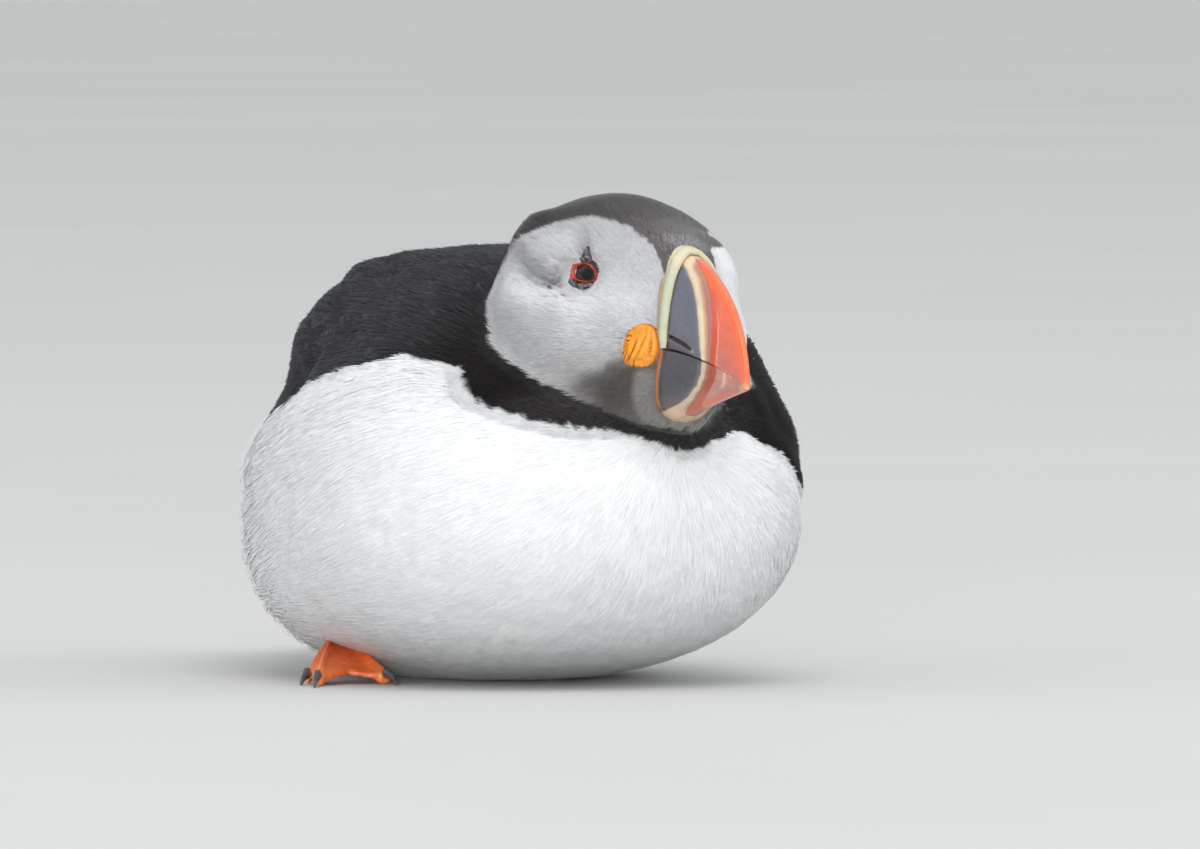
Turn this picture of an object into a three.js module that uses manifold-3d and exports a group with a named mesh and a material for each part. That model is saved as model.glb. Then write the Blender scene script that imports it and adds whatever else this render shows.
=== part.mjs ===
// An Atlantic puffin at rest, life size, as a still museum model.
// Millimetres, +Z up. The bird faces -Y and its left is +X. Its belly and toes lie on the plane z = 0.
// The flesh is one set of blended rounded masses, parted by thin cuts into named pieces.
import * as THREE from "three";
import { mergeVertices } from "three/addons/utils/BufferGeometryUtils.js";
import Module from "manifold-3d";

const wasm = await Module();
wasm.setup();

// ---------------------------------------------------------------- driving dimensions
const GAP = 0.3; // clearance left by every cut between two pieces
const TRUNK_CENTRE = [0, 2, 44];
const HEAD_AT = [11.9, -71, 71.1]; // between the corners of the gape: the head's own origin
const HEAD_TURN = { yaw: 6, roll: 7.5, pitch: 0 }; // degrees: to the left, crown to the left, bill down
const EYE = { x: 11.9, y: 23.8, z: 13.6, radius: 5.6, out: 24, up: 3 };
const EYE_RING = { radius: 3.2, wire: 0.7 };
const BILL = { base: 7.8, tip: 0.8, ridge: 1.3 };
const CERE = { width: 4.2, swell: 0.7 };
const ROSETTE = { at: [9.3, 3.6, -0.2], size: [2.0, 4.8, 4.6], forward: 28, lean: -18 };
const TOE = { radius: 2.1, claw: 6.5 };
const WING = { front: -44, back: 108, outer: 2.2, inner: 3.2 };
const TAIL = { root: 78, tip: 124, narrow: 11, wide: 16, height: 36, thick: 1.3 };

// ---------------------------------------------------------------- small helpers
const rad = THREE.MathUtils.degToRad;
const point = (x, y, z) => new THREE.Vector3(x, y, z);

// A closed geometry as a solid.
function solid(geometry) {
  const bare = new THREE.BufferGeometry();
  bare.setAttribute("position", geometry.getAttribute("position").clone());
  if (geometry.index) bare.setIndex(geometry.index.clone());
  const merged = mergeVertices(bare, 1e-4);
  const made = new wasm.Manifold(
    new wasm.Mesh({
      numProp: 3,
      vertProperties: new Float32Array(merged.attributes.position.array),
      triVerts: new Uint32Array(merged.index.array),
    }),
  );
  return made;
}

// A solid as a geometry to show.
function shown(body) {
  const mesh = body.getMesh();
  const place = new Float32Array(mesh.numVert * 3);
  for (let i = 0; i < mesh.numVert; i++) {
    place.set(mesh.vertProperties.subarray(i * mesh.numProp, i * mesh.numProp + 3), i * 3);
  }
  const made = new THREE.BufferGeometry();
  made.setAttribute("position", new THREE.BufferAttribute(place, 3));
  made.setIndex(new THREE.BufferAttribute(new Uint32Array(mesh.triVerts), 1));
  return made;
}

const joined = (...bodies) => bodies.reduce((a, b) => a.add(b));
const without = (body, ...cutters) => cutters.reduce((a, b) => a.subtract(b), body);

// The largest single body of a solid, so that no crumb of a cut stays.
function largest(body) {
  return body.decompose().sort((a, b) => b.volume() - a.volume())[0];
}

// ---------------------------------------------------------------- blended masses
// A rounded mass: an ellipsoid, or a squarer one for a power above 2.
function mass([x, y, z], [a, b, c], power = 2, lean = [0, 0, 0]) {
  const turn = new THREE.Matrix4()
    .makeRotationFromEuler(new THREE.Euler(...lean.map(rad)))
    .invert();
  const smallest = Math.min(a, b, c);
  return (p) => {
    const q = p.clone().sub(point(x, y, z)).applyMatrix4(turn);
    const sum =
      Math.abs(q.x / a) ** power + Math.abs(q.y / b) ** power + Math.abs(q.z / c) ** power;
    return (sum ** (1 / power) - 1) * smallest;
  };
}

// Several masses run together, with fillets about as wide as `blend`.
function blended(blend, ...masses) {
  return (p) =>
    masses
      .map((m) => m(p))
      .reduce((a, b) => {
        const near = Math.max(blend - Math.abs(a - b), 0) / blend;
        return Math.min(a, b) - (near * near * blend) / 4;
      });
}

// The surface of a field round a centre that sees all of it, as a closed geometry.
function wrapped(field, centre, detail, stretch = [1, 1, 1], grow = 0) {
  const ball = new THREE.IcosahedronGeometry(1, detail);
  const place = ball.getAttribute("position");
  const from = point(...centre);
  const way = point(0, 0, 0);
  for (let i = 0; i < place.count; i++) {
    way.fromBufferAttribute(place, i).multiply(point(...stretch)).normalize();
    let near = 0;
    let far = 200;
    for (let step = 0; step < 26; step++) {
      const middle = (near + far) / 2;
      if (field(from.clone().addScaledVector(way, middle)) < grow) near = middle;
      else far = middle;
    }
    const reached = from.clone().addScaledVector(way, near);
    place.setXYZ(i, reached.x, reached.y, reached.z);
  }
  return ball;
}

// ---------------------------------------------------------------- lofts
// A closed skin through rings of the same number of points, with a fan over each end.
function loft(rings) {
  const sides = rings[0].length;
  const place = rings.flat();
  const faces = [];
  for (let i = 0; i + 1 < rings.length; i++) {
    for (let j = 0; j < sides; j++) {
      const k = (j + 1) % sides;
      const [a, b, c, d] = [i * sides + j, i * sides + k, (i + 1) * sides + k, (i + 1) * sides + j];
      faces.push(a, b, c, a, c, d);
    }
  }
  for (const [ring, flip] of [[0, true], [rings.length - 1, false]]) {
    const middle = rings[ring].reduce((a, p) => a.add(p), point(0, 0, 0)).divideScalar(sides);
    place.push(middle);
    for (let j = 0; j < sides; j++) {
      const k = (j + 1) % sides;
      const pair = [ring * sides + j, ring * sides + k];
      faces.push(...(flip ? pair.reverse() : pair), place.length - 1);
    }
  }
  let volume = 0;
  for (let f = 0; f < faces.length; f += 3) {
    const [a, b, c] = [place[faces[f]], place[faces[f + 1]], place[faces[f + 2]]];
    volume += a.dot(b.clone().cross(c));
  }
  const made = new THREE.BufferGeometry();
  made.setAttribute(
    "position",
    new THREE.Float32BufferAttribute(place.flatMap((p) => [p.x, p.y, p.z]), 3),
  );
  made.setIndex(volume < 0 ? faces.reverse() : faces);
  return made;
}

// Rows of numbers read as smooth curves of one parameter from 0 to 1.
function smooth(rows) {
  const last = rows.length - 1;
  return (t) => {
    const at = Math.min(Math.max(t, 0), 1) * last;
    const i = Math.min(Math.floor(at), last - 1);
    const f = at - i;
    const [p0, p1, p2, p3] = [rows[Math.max(i - 1, 0)], rows[i], rows[i + 1], rows[Math.min(i + 2, last)]];
    return p1.map((_, k) => {
      const a = 2 * p1[k];
      const b = p2[k] - p0[k];
      const c = 2 * p0[k] - 5 * p1[k] + 4 * p2[k] - p3[k];
      const d = 3 * p1[k] - p0[k] - 3 * p2[k] + p3[k];
      return (a + b * f + c * f * f + d * f * f * f) / 2;
    });
  };
}

// ---------------------------------------------------------------- half spaces
// The side of a plane that its normal points to, starting `gap` past the plane.
function beyond([x, y, z], normal, gap = 0) {
  const size = 500;
  const box = new THREE.BoxGeometry(size, size, size);
  box.translate(0, 0, size / 2 + gap);
  const turn = new THREE.Quaternion().setFromUnitVectors(point(0, 0, 1), normal.clone().normalize());
  box.applyQuaternion(turn).translate(x, y, z);
  return solid(box);
}

// ---------------------------------------------------------------- head frame
const headPlace = new THREE.Matrix4().makeTranslation(...HEAD_AT).multiply(
  new THREE.Matrix4().makeRotationFromEuler(
    new THREE.Euler(rad(HEAD_TURN.pitch), rad(HEAD_TURN.roll), rad(HEAD_TURN.yaw), "ZYX"),
  ),
);
const onHead = (geometry) => solid(geometry.clone().applyMatrix4(headPlace));

// ---------------------------------------------------------------- flesh
const trunkMasses = [
  mass([0, 6, 34.5], [54.3, 66, 35.5], 2.4, [-6, 0, 0]), // belly and flanks
  mass([0, -18, 38], [46, 42, 30], 2.2), // breast
  mass([2.5, 12, 58.5], [43.5, 45, 33], 2.5), // shoulders and mantle
  mass([0, 44, 47], [27, 52, 29], 2.2, [-13, 0, 0]), // back
  mass([0, 58, 38], [32, 47, 25], 2), // rump
];
const trunkField = blended(12, ...trunkMasses);
const neckField = mass([10, -36, 56], [31, 25, 20], 2.2);
const headField = blended(
  8,
  mass([0, 38, 5.8], [27.5, 26.5, 26.8]), // skull and cheeks
  mass([0, 24, -1], [20.5, 20, 17.5], 2.1), // sides of the face
  mass([0, 18, 9], [11.5, 15, 16], 2.2), // forehead and lores
  mass([0, 13.5, -8], [12, 15, 10.8], 2.1), // chin
);

const floor = beyond([0, 0, 0], point(0, 0, 1));
const trunkSkin = (grow) => solid(wrapped(trunkField, TRUNK_CENTRE, 6, [0.75, 1, 0.65], grow));
const neckSkin = (grow) => solid(wrapped(neckField, [10, -36, 56], 4, [1, 1, 1], grow));
const headSkin = (grow) => onHead(wrapped(headField, [0, 28, 4], 5, [1, 1, 1], grow));
const flesh = joined(trunkSkin(0).intersect(floor), neckSkin(0), headSkin(0));

// The face ends on two planes of the head's frame: one under the chin, one behind the cheeks.
function faceSide(gap) {
  const under = beyondHead([0, 6, -19.5], point(0, -0.22, 0.975), gap);
  const behind = beyondHead([0, 50, 3], point(0, -0.75, 0.66), gap);
  return under.intersect(behind).intersect(headSkin(1 - gap));
}
function beyondHead(at, normal, gap) {
  const place = point(...at).applyMatrix4(headPlace);
  return beyond(place.toArray(), normal.clone().transformDirection(headPlace), gap);
}
// The dark collar ends on a slanting plane; the dark back starts on another one.
const collarCut = { at: [0, -56, 53.8], normal: point(0.02, -0.48, 0.87) };
const backCut = { at: [0, -40, 70], normal: point(0, 0.27, 1) };
const above = ({ at, normal }) => beyond(at, normal, GAP / 2);
const below = ({ at, normal }) => beyond(at, normal.clone().negate(), GAP / 2);

// ---------------------------------------------------------------- bill
// Everything here is in the head's own frame, where the bill points to -Y.
const bezier = (...pairs) => {
  const way = new THREE.CubicBezierCurve(...pairs.map(([a, b]) => new THREE.Vector2(a, b)));
  return (t) => way.getPoint(t);
};
// Profiles in the middle plane, as (forward, up), from the base to the tip.
const culmen = bezier([-8, 21.6], [5, 18.6], [22, 8.6], [26, -7]);
const gape = bezier([1.4, 0.2], [9, 0.3], [18, -1.4], [25.4, -6.2]);
const gonys = bezier([-3.6, -15.4], [5, -14], [15, -10.6], [25, -7.2]);

// Half the bill's width at a station t from the base and a height v from the gape to the ridge.
function billWidth(t, v, fullness) {
  const wide = THREE.MathUtils.lerp(BILL.base, BILL.tip, t ** 0.9);
  const ridge = THREE.MathUtils.lerp(BILL.ridge, BILL.tip * 0.7, t);
  return ridge + (wide - ridge) * (1 - v ** fullness);
}

// The side of a ring mirrored to the other side, as a closed ring.
const bothSides = (right) => [
  ...right.map(([x, y, z]) => point(-x, y, z)),
  ...right.reverse().map(([x, y, z]) => point(x, y, z)),
];

// One mandible between the gape line and its outer profile. `grow` swells it for cutting.
function mandible(outer, fullness, root, grow = 0, stations = 10, steps = 5) {
  const rings = [];
  for (let i = -1; i <= stations; i++) {
    const t = Math.max(i, 0) / stations;
    const behind = i < 0 ? root + grow : 0;
    const [low, high] = [gape(t), outer(t)];
    const away = Math.sign(high.y - low.y);
    const right = [];
    for (let j = 0; j <= steps; j++) {
      const v = j / steps;
      const forward = THREE.MathUtils.lerp(low.x, high.x, v ** THREE.MathUtils.lerp(1.5, 1, t));
      const up = THREE.MathUtils.lerp(low.y, high.y, v) + away * (v * grow + (1 - v) * (GAP / 2 - grow));
      const end = i === stations ? grow : 0;
      const half = (j === steps ? 0.5 * BILL.ridge * (1 - 0.6 * t) : billWidth(t, v, fullness)) + grow;
      right.push([half, behind - forward - end, up]);
    }
    rings.push(bothSides(right));
  }
  return onHead(loft(rings));
}
const upperMandible = (grow) => mandible(culmen, 1.7, 0, grow);
const lowerMandible = (grow) => mandible(gonys, 2, 4, grow);

// The cream ridge round the base of the upper mandible, an arch over the culmen.
function cere(grow = 0) {
  const rings = [];
  for (const [k, swell] of [[0, 0.2], [0.35, 1], [0.75, 1.1], [1, 0.5]]) {
    const right = [];
    const steps = 9;
    const out = CERE.swell * swell + grow;
    for (let j = 0; j <= steps; j++) {
      const v = Math.sin((Math.PI / 2) * (j / steps));
      const [low, high] = [gape(0), culmen(0)];
      const edge = THREE.MathUtils.lerp(low.x, high.x, v ** 1.5) - GAP;
      const half = billWidth(0, v, 2.4) * Math.cos((Math.PI / 2) * (j / steps)) ** 0.25;
      const ends = k === 0 ? grow : k === 1 ? -grow : 0;
      right.push([
        (j === steps ? 0.2 : half) + out * (1 - 0.5 * v),
        CERE.width * (1 - k) - edge + ends,
        low.y + GAP / 2 + (v ? v * (high.y - low.y + out) : -grow),
      ]);
    }
    rings.push(bothSides(right));
  }
  return onHead(loft(rings));
}

// ---------------------------------------------------------------- face fittings
const sides = [["left", 1], ["right", -1]];

// A geometry modelled about +Z, turned so that +Z looks out of the eye on one side.
function atEye(geometry, side, out) {
  const look = point(
    side * Math.cos(rad(EYE.out)) * Math.cos(rad(EYE.up)),
    -Math.sin(rad(EYE.out)) * Math.cos(rad(EYE.up)),
    Math.sin(rad(EYE.up)),
  );
  const across = point(0, 0, 1).cross(look).normalize();
  const up = look.clone().cross(across);
  const turn = new THREE.Matrix4().makeBasis(across, up, look);
  const place = point(side * EYE.x, EYE.y, EYE.z).addScaledVector(look, out);
  return onHead(geometry.clone().applyMatrix4(turn).translate(...place.toArray()));
}
const EYE_FACE = Math.sqrt(EYE.radius ** 2 - EYE_RING.radius ** 2) + 0.25;
const eyeBall = (side, grow = 0, detail = 2) =>
  atEye(new THREE.IcosahedronGeometry(EYE.radius + grow, detail), side, 0);
const eyeRing = (side, grow = 0) =>
  atEye(new THREE.TorusGeometry(EYE_RING.radius, EYE_RING.wire + grow, 5, 14), side, EYE_FACE);

// The hollow in the feathers that holds the eye and its ring.
function eyeSocket(side) {
  const rim = EYE_RING.radius + EYE_RING.wire + GAP;
  const profile = [[0, -1.2], [rim, -1.2], [rim, 0.3], [rim + 1, 2.6], [rim + 1, 6], [0, 6]];
  const funnel = new THREE.LatheGeometry(profile.map(([r, h]) => new THREE.Vector2(r, h)), 12);
  return joined(atEye(funnel.rotateX(Math.PI / 2), side, EYE_FACE), eyeBall(side, 2 * GAP, 1));
}

// A thin horny plate from an outline in the eye's plane.
function plate({ corners, out, tilt }, side, grow = 0) {
  const middle = corners
    .reduce((a, c) => a.add(new THREE.Vector2(...c)), new THREE.Vector2())
    .divideScalar(corners.length);
  const outline = corners.map((c) => {
    const away = new THREE.Vector2(...c).sub(middle);
    return middle.clone().add(away.setLength(away.length() + grow));
  });
  const deep = 1.6 + 2 * grow;
  const made = new THREE.ExtrudeGeometry(new THREE.Shape(outline), { depth: deep, bevelEnabled: false });
  return atEye(made.translate(0, 0, -deep / 2).rotateX(rad(tilt)), side, EYE_FACE + out);
}
const BROW_PLATE = {
  corners: [[-1.6, 4.2], [1.6, 4.2], [1.1, 6], [0.2, 8.4], [-0.9, 6.2]],
  out: 1.5,
  tilt: -12,
};
const LOWER_PLATE = {
  corners: [[-3.4, -4.3], [-3.2, -5.7], [-0.6, -6.3], [2.4, -6], [4.2, -4.7], [3.4, -4]],
  out: 0.6,
  tilt: 6,
};

function rosette(side, grow = 0) {
  const disc = new THREE.SphereGeometry(1, 12, 6);
  disc.scale(...ROSETTE.size.map((r) => r + grow)).rotateX(rad(ROSETTE.lean));
  const [x, y, z] = ROSETTE.at;
  return onHead(disc.rotateZ(-side * rad(ROSETTE.forward)).translate(side * x, y, z));
}

// ---------------------------------------------------------------- legs
// The right foot stands beside the belly; the left one is tucked under it.
// Toes go from the joint at the foot's top to their tips, which lie on the floor.
const FEET = {
  right: { heel: [-27, 46, 13], joint: [-37.5, 15, 8.6], tips: [[-50, -4], [-51, -13], [-34.5, -9]] },
  left: { heel: [15, 70, 14], joint: [19, 46, 6], tips: [[26, 24], [18, 17], [9, 24]] },
};

// A tapering tube with round ends between two points.
function limb(from, to, startRadius, endRadius, around = 7) {
  const start = point(...from);
  const way = point(...to).sub(start);
  const long = way.length();
  way.normalize();
  const profile = [];
  for (const a of [-90, -55, -20]) {
    profile.push(new THREE.Vector2(Math.cos(rad(a)) * startRadius, Math.sin(rad(a)) * startRadius));
  }
  for (const a of [10, 50, 90]) {
    profile.push(new THREE.Vector2(Math.cos(rad(a)) * endRadius, long + Math.sin(rad(a)) * endRadius));
  }
  profile[0].x = profile.at(-1).x = 0;
  const turn = new THREE.Quaternion().setFromUnitVectors(point(0, 1, 0), way);
  return new THREE.LatheGeometry(profile, around).applyQuaternion(turn).translate(...from);
}

// A webbed foot, lofted across its toes. Each station is a place counted in toes,
// a thickness and a reach: thick and long at a toe, thin and scalloped between two.
const ACROSS_TOE = [[-0.13, 0.36, 0.96], [-0.06, 0.8, 1], [0, 1, 1], [0.06, 0.8, 1], [0.13, 0.36, 0.96]];
const ACROSS_FOOT = [0, 1, 2].flatMap((toe) => [
  ...ACROSS_TOE.map(([s, thick, reach]) => [toe + s, thick, reach]),
  ...(toe < 2 ? [[toe + 0.5, 0.34, 0.84]] : []),
]);
const DOWN_FOOT = [[0.03, 1.25], [0.4, 1.1], [0.78, 1.1], [1, 0.8]];

function foot({ joint, tips }, grow = 0) {
  const ends = tips.map(([x, y]) => point(x, y, TOE.radius * 0.6));
  const top = point(...joint);
  const rings = ACROSS_FOOT.map(([s, thick, reach], k) => {
    const wider = s + (k === 0 ? -grow / 8 : k === ACROSS_FOOT.length - 1 ? grow / 8 : 0);
    const i = wider < 1 ? 0 : 1;
    const edge = ends[i].clone().lerp(ends[i + 1], wider - i);
    const [over, under] = [[], []];
    for (const [f, swell] of DOWN_FOOT) {
      const middle = top.clone().lerp(edge, f * reach + (f === 1 ? grow / 20 : 0));
      const half = point(0, 0, TOE.radius * thick * swell + grow);
      over.push(middle.clone().add(half));
      under.push(middle.clone().sub(half));
    }
    return [...over, ...under.reverse()];
  });
  return solid(loft(rings));
}
const leg = ({ heel, joint }, grow = 0) => solid(limb(heel, joint, 4.2 + grow, 2.7 + grow));

// A claw: a short horn that leaves the toe's end and bends down to the floor.
function claw({ joint, tips }, i, grow = 0) {
  const [x, y] = tips[i];
  const ahead = point(x - joint[0], y - joint[1], 0).normalize();
  const across = point(0, 0, 1).cross(ahead);
  const rings = [];
  for (let k = 0; k <= 4; k++) {
    const f = k / 4;
    const middle = point(x, y, THREE.MathUtils.lerp(TOE.radius * 1.15, 0.3, f ** 1.6));
    middle.addScaledVector(ahead, TOE.radius * 0.1 + TOE.claw * Math.sin(f * 1.15) * 0.9);
    const radius = THREE.MathUtils.lerp(1.35, 0.4, f) + grow;
    const ring = [];
    for (let j = 0; j < 6; j++) {
      const a = (Math.PI * 2 * j) / 6;
      const p = middle.clone().addScaledVector(across, Math.cos(a) * radius * 0.75);
      ring.push(p.add(point(0, 0, Math.sin(a) * radius)));
    }
    rings.push(ring);
  }
  return solid(loft(rings));
}

// ---------------------------------------------------------------- wings and tail
// A folded wing is a thick patch that lies on the body and runs on past the rump.
// Its lower and upper edges are angles, in degrees, round an axis along the trunk.
const wingBed = blended(12, ...trunkMasses, mass([0, 84, 35], [15, 44, 12]));
const wingEdges = smooth([[15, 24], [2, 38], [-4, 43], [-4, 45], [-3, 46], [-2, 46], [1, 43], [6, 37], [14, 27]]);
const flankOverWing = 14; // degrees by which the right flank hides the wing's lower edge

function wing(side, grow = 0, stations = 13, across = 5) {
  const rings = [];
  for (let i = 0; i <= stations; i++) {
    const t = (1 - Math.cos((Math.PI * i) / stations)) / 2;
    const y = THREE.MathUtils.lerp(WING.front - grow, WING.back + grow, t);
    const axis = point(0, y, THREE.MathUtils.lerp(47, 31, t));
    const [edge, high] = wingEdges(t);
    const low = side < 0 ? edge + flankOverWing * Math.sin(Math.PI * t) ** 0.5 * (1 - t) : edge;
    const [outer, inner] = [[], []];
    for (let j = 0; j <= across; j++) {
      const s = j / across;
      const more = (grow / 30) * (2 * s - 1);
      const a = rad(THREE.MathUtils.lerp(low, high, s)) + more;
      const way = point(side * Math.cos(a), 0, Math.sin(a));
      let [near, far] = [0, 90];
      for (let k = 0; k < 22; k++) {
        const middle = (near + far) / 2;
        if (wingBed(axis.clone().addScaledVector(way, middle)) < 0) near = middle;
        else far = middle;
      }
      const rim = 1 - 0.45 * Math.abs(2 * s - 1) ** 4;
      const end = Math.min(1, 0.35 + 8 * t);
      outer.push(axis.clone().addScaledVector(way, near + WING.outer * rim * end + grow));
      inner.push(axis.clone().addScaledVector(way, near - WING.inner - grow));
    }
    rings.push([...outer, ...inner.reverse()]);
  }
  return solid(loft(rings));
}

// The tail is a short fan, arched from side to side and rounded at its end.
function tail(grow = 0, stations = 5, sidesOf = 7) {
  const rings = [];
  for (let i = 0; i <= stations; i++) {
    const t = i / stations;
    const half = THREE.MathUtils.lerp(TAIL.narrow, TAIL.wide, t ** 0.8) + grow;
    const [above, under] = [[], []];
    for (let j = 0; j <= sidesOf; j++) {
      const s = (2 * j) / sidesOf - 1;
      const end = TAIL.tip - 7 * s * s + grow;
      const y = THREE.MathUtils.lerp(TAIL.root - grow, end, t);
      const z = TAIL.height - 4 * s * s - 3 * t;
      const thick = TAIL.thick * (1 - 0.45 * t) * (1 - 0.4 * s ** 4) + grow;
      above.push(point(half * s, y, z + thick));
      under.push(point(half * s, y, z - thick));
    }
    rings.push([...above, ...under.reverse()]);
  }
  return solid(loft(rings));
}

// ---------------------------------------------------------------- the model
const puffin = new THREE.Group();
const COLOURS = {
  black: [0x242427, 0.75],
  white: [0xeceeee, 0.8],
  face: [0xc9cbcc, 0.8],
  cream: [0xe3d6a6, 0.5],
  orange: [0xd9502a, 0.35],
  slate: [0x565963, 0.4],
  amber: [0xf0991c, 0.5],
  foot: [0xe8672a, 0.5],
  claw: [0x3c3c40, 0.35],
  eye: [0x2b2020, 0.08],
};
function add(name, body, colour) {
  const [value, roughness] = COLOURS[colour];
  const material = new THREE.MeshStandardMaterial({ color: value, roughness, metalness: 0 });
  const mesh = new THREE.Mesh(shown(largest(body)), material);
  mesh.name = name;
  puffin.add(mesh);
}

const bodyCuts = [tail(GAP), ...sides.map(([, side]) => wing(side, GAP))];
for (const form of Object.values(FEET)) {
  bodyCuts.push(foot(form, GAP), leg(form, GAP), ...[0, 1, 2].map((i) => claw(form, i, GAP)));
}
const faceCuts = [upperMandible(GAP), lowerMandible(GAP), cere(GAP)];
for (const [, side] of sides) {
  faceCuts.push(eyeSocket(side), rosette(side, GAP));
  faceCuts.push(plate(BROW_PLATE, side, GAP), plate(LOWER_PLATE, side, GAP));
}
const belowFace = flesh.subtract(faceSide(-GAP / 2));
const belowCollar = belowFace.intersect(below(collarCut));
add("head", without(flesh.intersect(faceSide(GAP / 2)), ...bodyCuts, ...faceCuts), "face");
add("neck", without(belowFace.intersect(above(collarCut)), ...bodyCuts, ...faceCuts), "black");
add("back", without(belowCollar.intersect(above(backCut)), ...bodyCuts), "black");
add("trunk", without(belowCollar.intersect(below(backCut)), ...bodyCuts, ...faceCuts), "white");
add("tail", without(tail(), ...sides.map(([, side]) => wing(side, GAP))), "black");
for (const [name, side] of sides) add("wing_" + name, wing(side), "black");
add("bill_upper", upperMandible(0), "orange");
add("bill_lower", without(lowerMandible(0), cere(GAP)), "slate");
add("cere", cere(), "cream");
for (const [name, side] of sides) {
  const clear = [eyeBall(side, GAP), eyeRing(side, GAP)];
  add("eye_" + name, eyeBall(side), "eye");
  add("eye_ring_" + name, without(eyeRing(side), eyeBall(side, GAP / 2)), "orange");
  add("brow_plate_" + name, without(plate(BROW_PLATE, side), ...clear), "slate");
  add("lower_plate_" + name, without(plate(LOWER_PLATE, side), ...clear), "slate");
  add("rosette_" + name, without(rosette(side), upperMandible(GAP), lowerMandible(GAP), cere(GAP)), "amber");
}
for (const [name, form] of Object.entries(FEET)) {
  const claws = [0, 1, 2].map((i) => claw(form, i, GAP));
  add("leg_" + name, without(leg(form), foot(form, GAP)).intersect(floor), "foot");
  add("foot_" + name, without(foot(form), ...claws).intersect(floor), "foot");
  for (const i of [0, 1, 2]) add(`claw_${name}_${i + 1}`, claw(form, i).intersect(floor), "claw");
}

// The middle of the bird's box stands over the origin.
const box = new THREE.Box3().setFromObject(puffin, true);
const middle = box.getCenter(point(0, 0, 0));
for (const mesh of puffin.children) mesh.geometry.translate(-middle.x, -middle.y, 0);

export default puffin;
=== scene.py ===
"""Looks of the Atlantic puffin: one feathered skin over the CAD frame, with its own bill, eyes and feet.
Lengths in this script are in millimetres until a mesh is made."""

import math

import bpy
import bmesh
import numpy as np
from mathutils import Matrix, Vector


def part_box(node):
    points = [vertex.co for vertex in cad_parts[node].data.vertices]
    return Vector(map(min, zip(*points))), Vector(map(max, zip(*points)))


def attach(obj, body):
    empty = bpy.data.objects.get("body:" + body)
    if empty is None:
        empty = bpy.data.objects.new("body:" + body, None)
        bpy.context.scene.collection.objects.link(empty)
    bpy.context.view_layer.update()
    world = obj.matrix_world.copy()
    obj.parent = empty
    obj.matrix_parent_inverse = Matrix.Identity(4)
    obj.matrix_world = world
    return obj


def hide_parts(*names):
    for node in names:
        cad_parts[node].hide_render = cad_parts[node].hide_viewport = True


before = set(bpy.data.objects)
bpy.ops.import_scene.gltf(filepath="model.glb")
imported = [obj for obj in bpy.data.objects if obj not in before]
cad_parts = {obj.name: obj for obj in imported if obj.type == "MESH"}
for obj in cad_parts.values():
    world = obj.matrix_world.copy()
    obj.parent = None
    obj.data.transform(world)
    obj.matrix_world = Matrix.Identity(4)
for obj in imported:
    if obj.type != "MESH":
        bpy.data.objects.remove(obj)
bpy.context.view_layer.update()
rng = np.random.default_rng(746)
MM = 0.001
# farther than anything here
FAR = 1e9
# half the size of a feather's patch in the unwrap
PATCH = 0.0015

# ---- small helpers
unit = lambda a: a / np.maximum(np.linalg.norm(a, axis=-1, keepdims=True), 1e-9)
dot = lambda a, b: (a * b).sum(-1)
mix = lambda a, b, t: a + (b - a) * t
ridge_at = lambda x, at, width: np.exp(-(((x - at) / width) ** 2))


def step(lo, hi, x):
    t = np.clip((x - lo) / (hi - lo), 0, 1)
    return t * t * (3 - 2 * t)


def line(x, *points):
    """Straight runs through (x, y) points in rising x."""
    xs, ys = zip(*points)
    return np.interp(x, xs, ys)


def srgb(*rgb):
    c = np.array(rgb, float) / 255
    return np.where(c < 0.04045, c / 12.92, ((c + 0.055) / 1.055) ** 2.4)


def layered(col, *layers):
    """A colour with others laid over it in turn, each given as sRGB numbers and how much of it shows."""
    for rgb, weight in layers:
        col = mix(col, srgb(*rgb), np.clip(weight, 0, 1)[..., None])
    return col


def noise(p, size, seed=0):
    """Smooth lattice noise from -1 to 1 with blobs of a size in mm."""
    q = np.asarray(p, float) / size + 37.7 * (seed + 1)
    i = np.floor(q).astype(np.int64)
    f = q - i
    f = f * f * (3 - 2 * f)
    total = 0
    for c in range(8):
        d = np.array([c & 1, c >> 1 & 1, c >> 2 & 1])
        h = (i + d) @ np.array([73856093, 19349663, 83492791]) + seed * 7919
        h = (h ^ (h >> 13)) * 1274126177 & 0x7FFFFFFF
        h = (h ^ (h >> 15)) % 20011 / 10005.0 - 1
        total = total + h * np.prod(np.where(d, f, 1 - f), -1)
    return total


def speckle(a, b, size, seed):
    """The same over two coordinates of a sheet."""
    return noise(np.stack([a, b, 0 * b], -1).reshape(-1, 3), size, seed).reshape(a.shape)


# ---- the head's own frame
# x to the bird's left, y backwards, z up; its origin lies between the corners of the gape.
HEAD_AT = np.array([11.28, -83.94, 71.1])
TURN = np.array(Matrix.Rotation(math.radians(6), 3, "Z") @ Matrix.Rotation(math.radians(7.5), 3, "Y"))
to_head = lambda p: (p - HEAD_AT) @ TURN
from_head = lambda q: q @ TURN.T + HEAD_AT


# ---- meshes
def node_arrays(name):
    """A node's own points in mm, with doubles joined, and its triangles."""
    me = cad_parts[name].data
    co = np.empty(len(me.vertices) * 3, np.float32)
    me.vertices.foreach_get("co", co)
    me.calc_loop_triangles()
    tri = np.empty(len(me.loop_triangles) * 3, np.int32)
    me.loop_triangles.foreach_get("vertices", tri)
    co, index = np.unique(co.reshape(-1, 3).astype(float).round(7) * 1000, axis=0, return_inverse=True)
    return co, index.reshape(-1)[tri].reshape(-1, 3)


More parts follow.
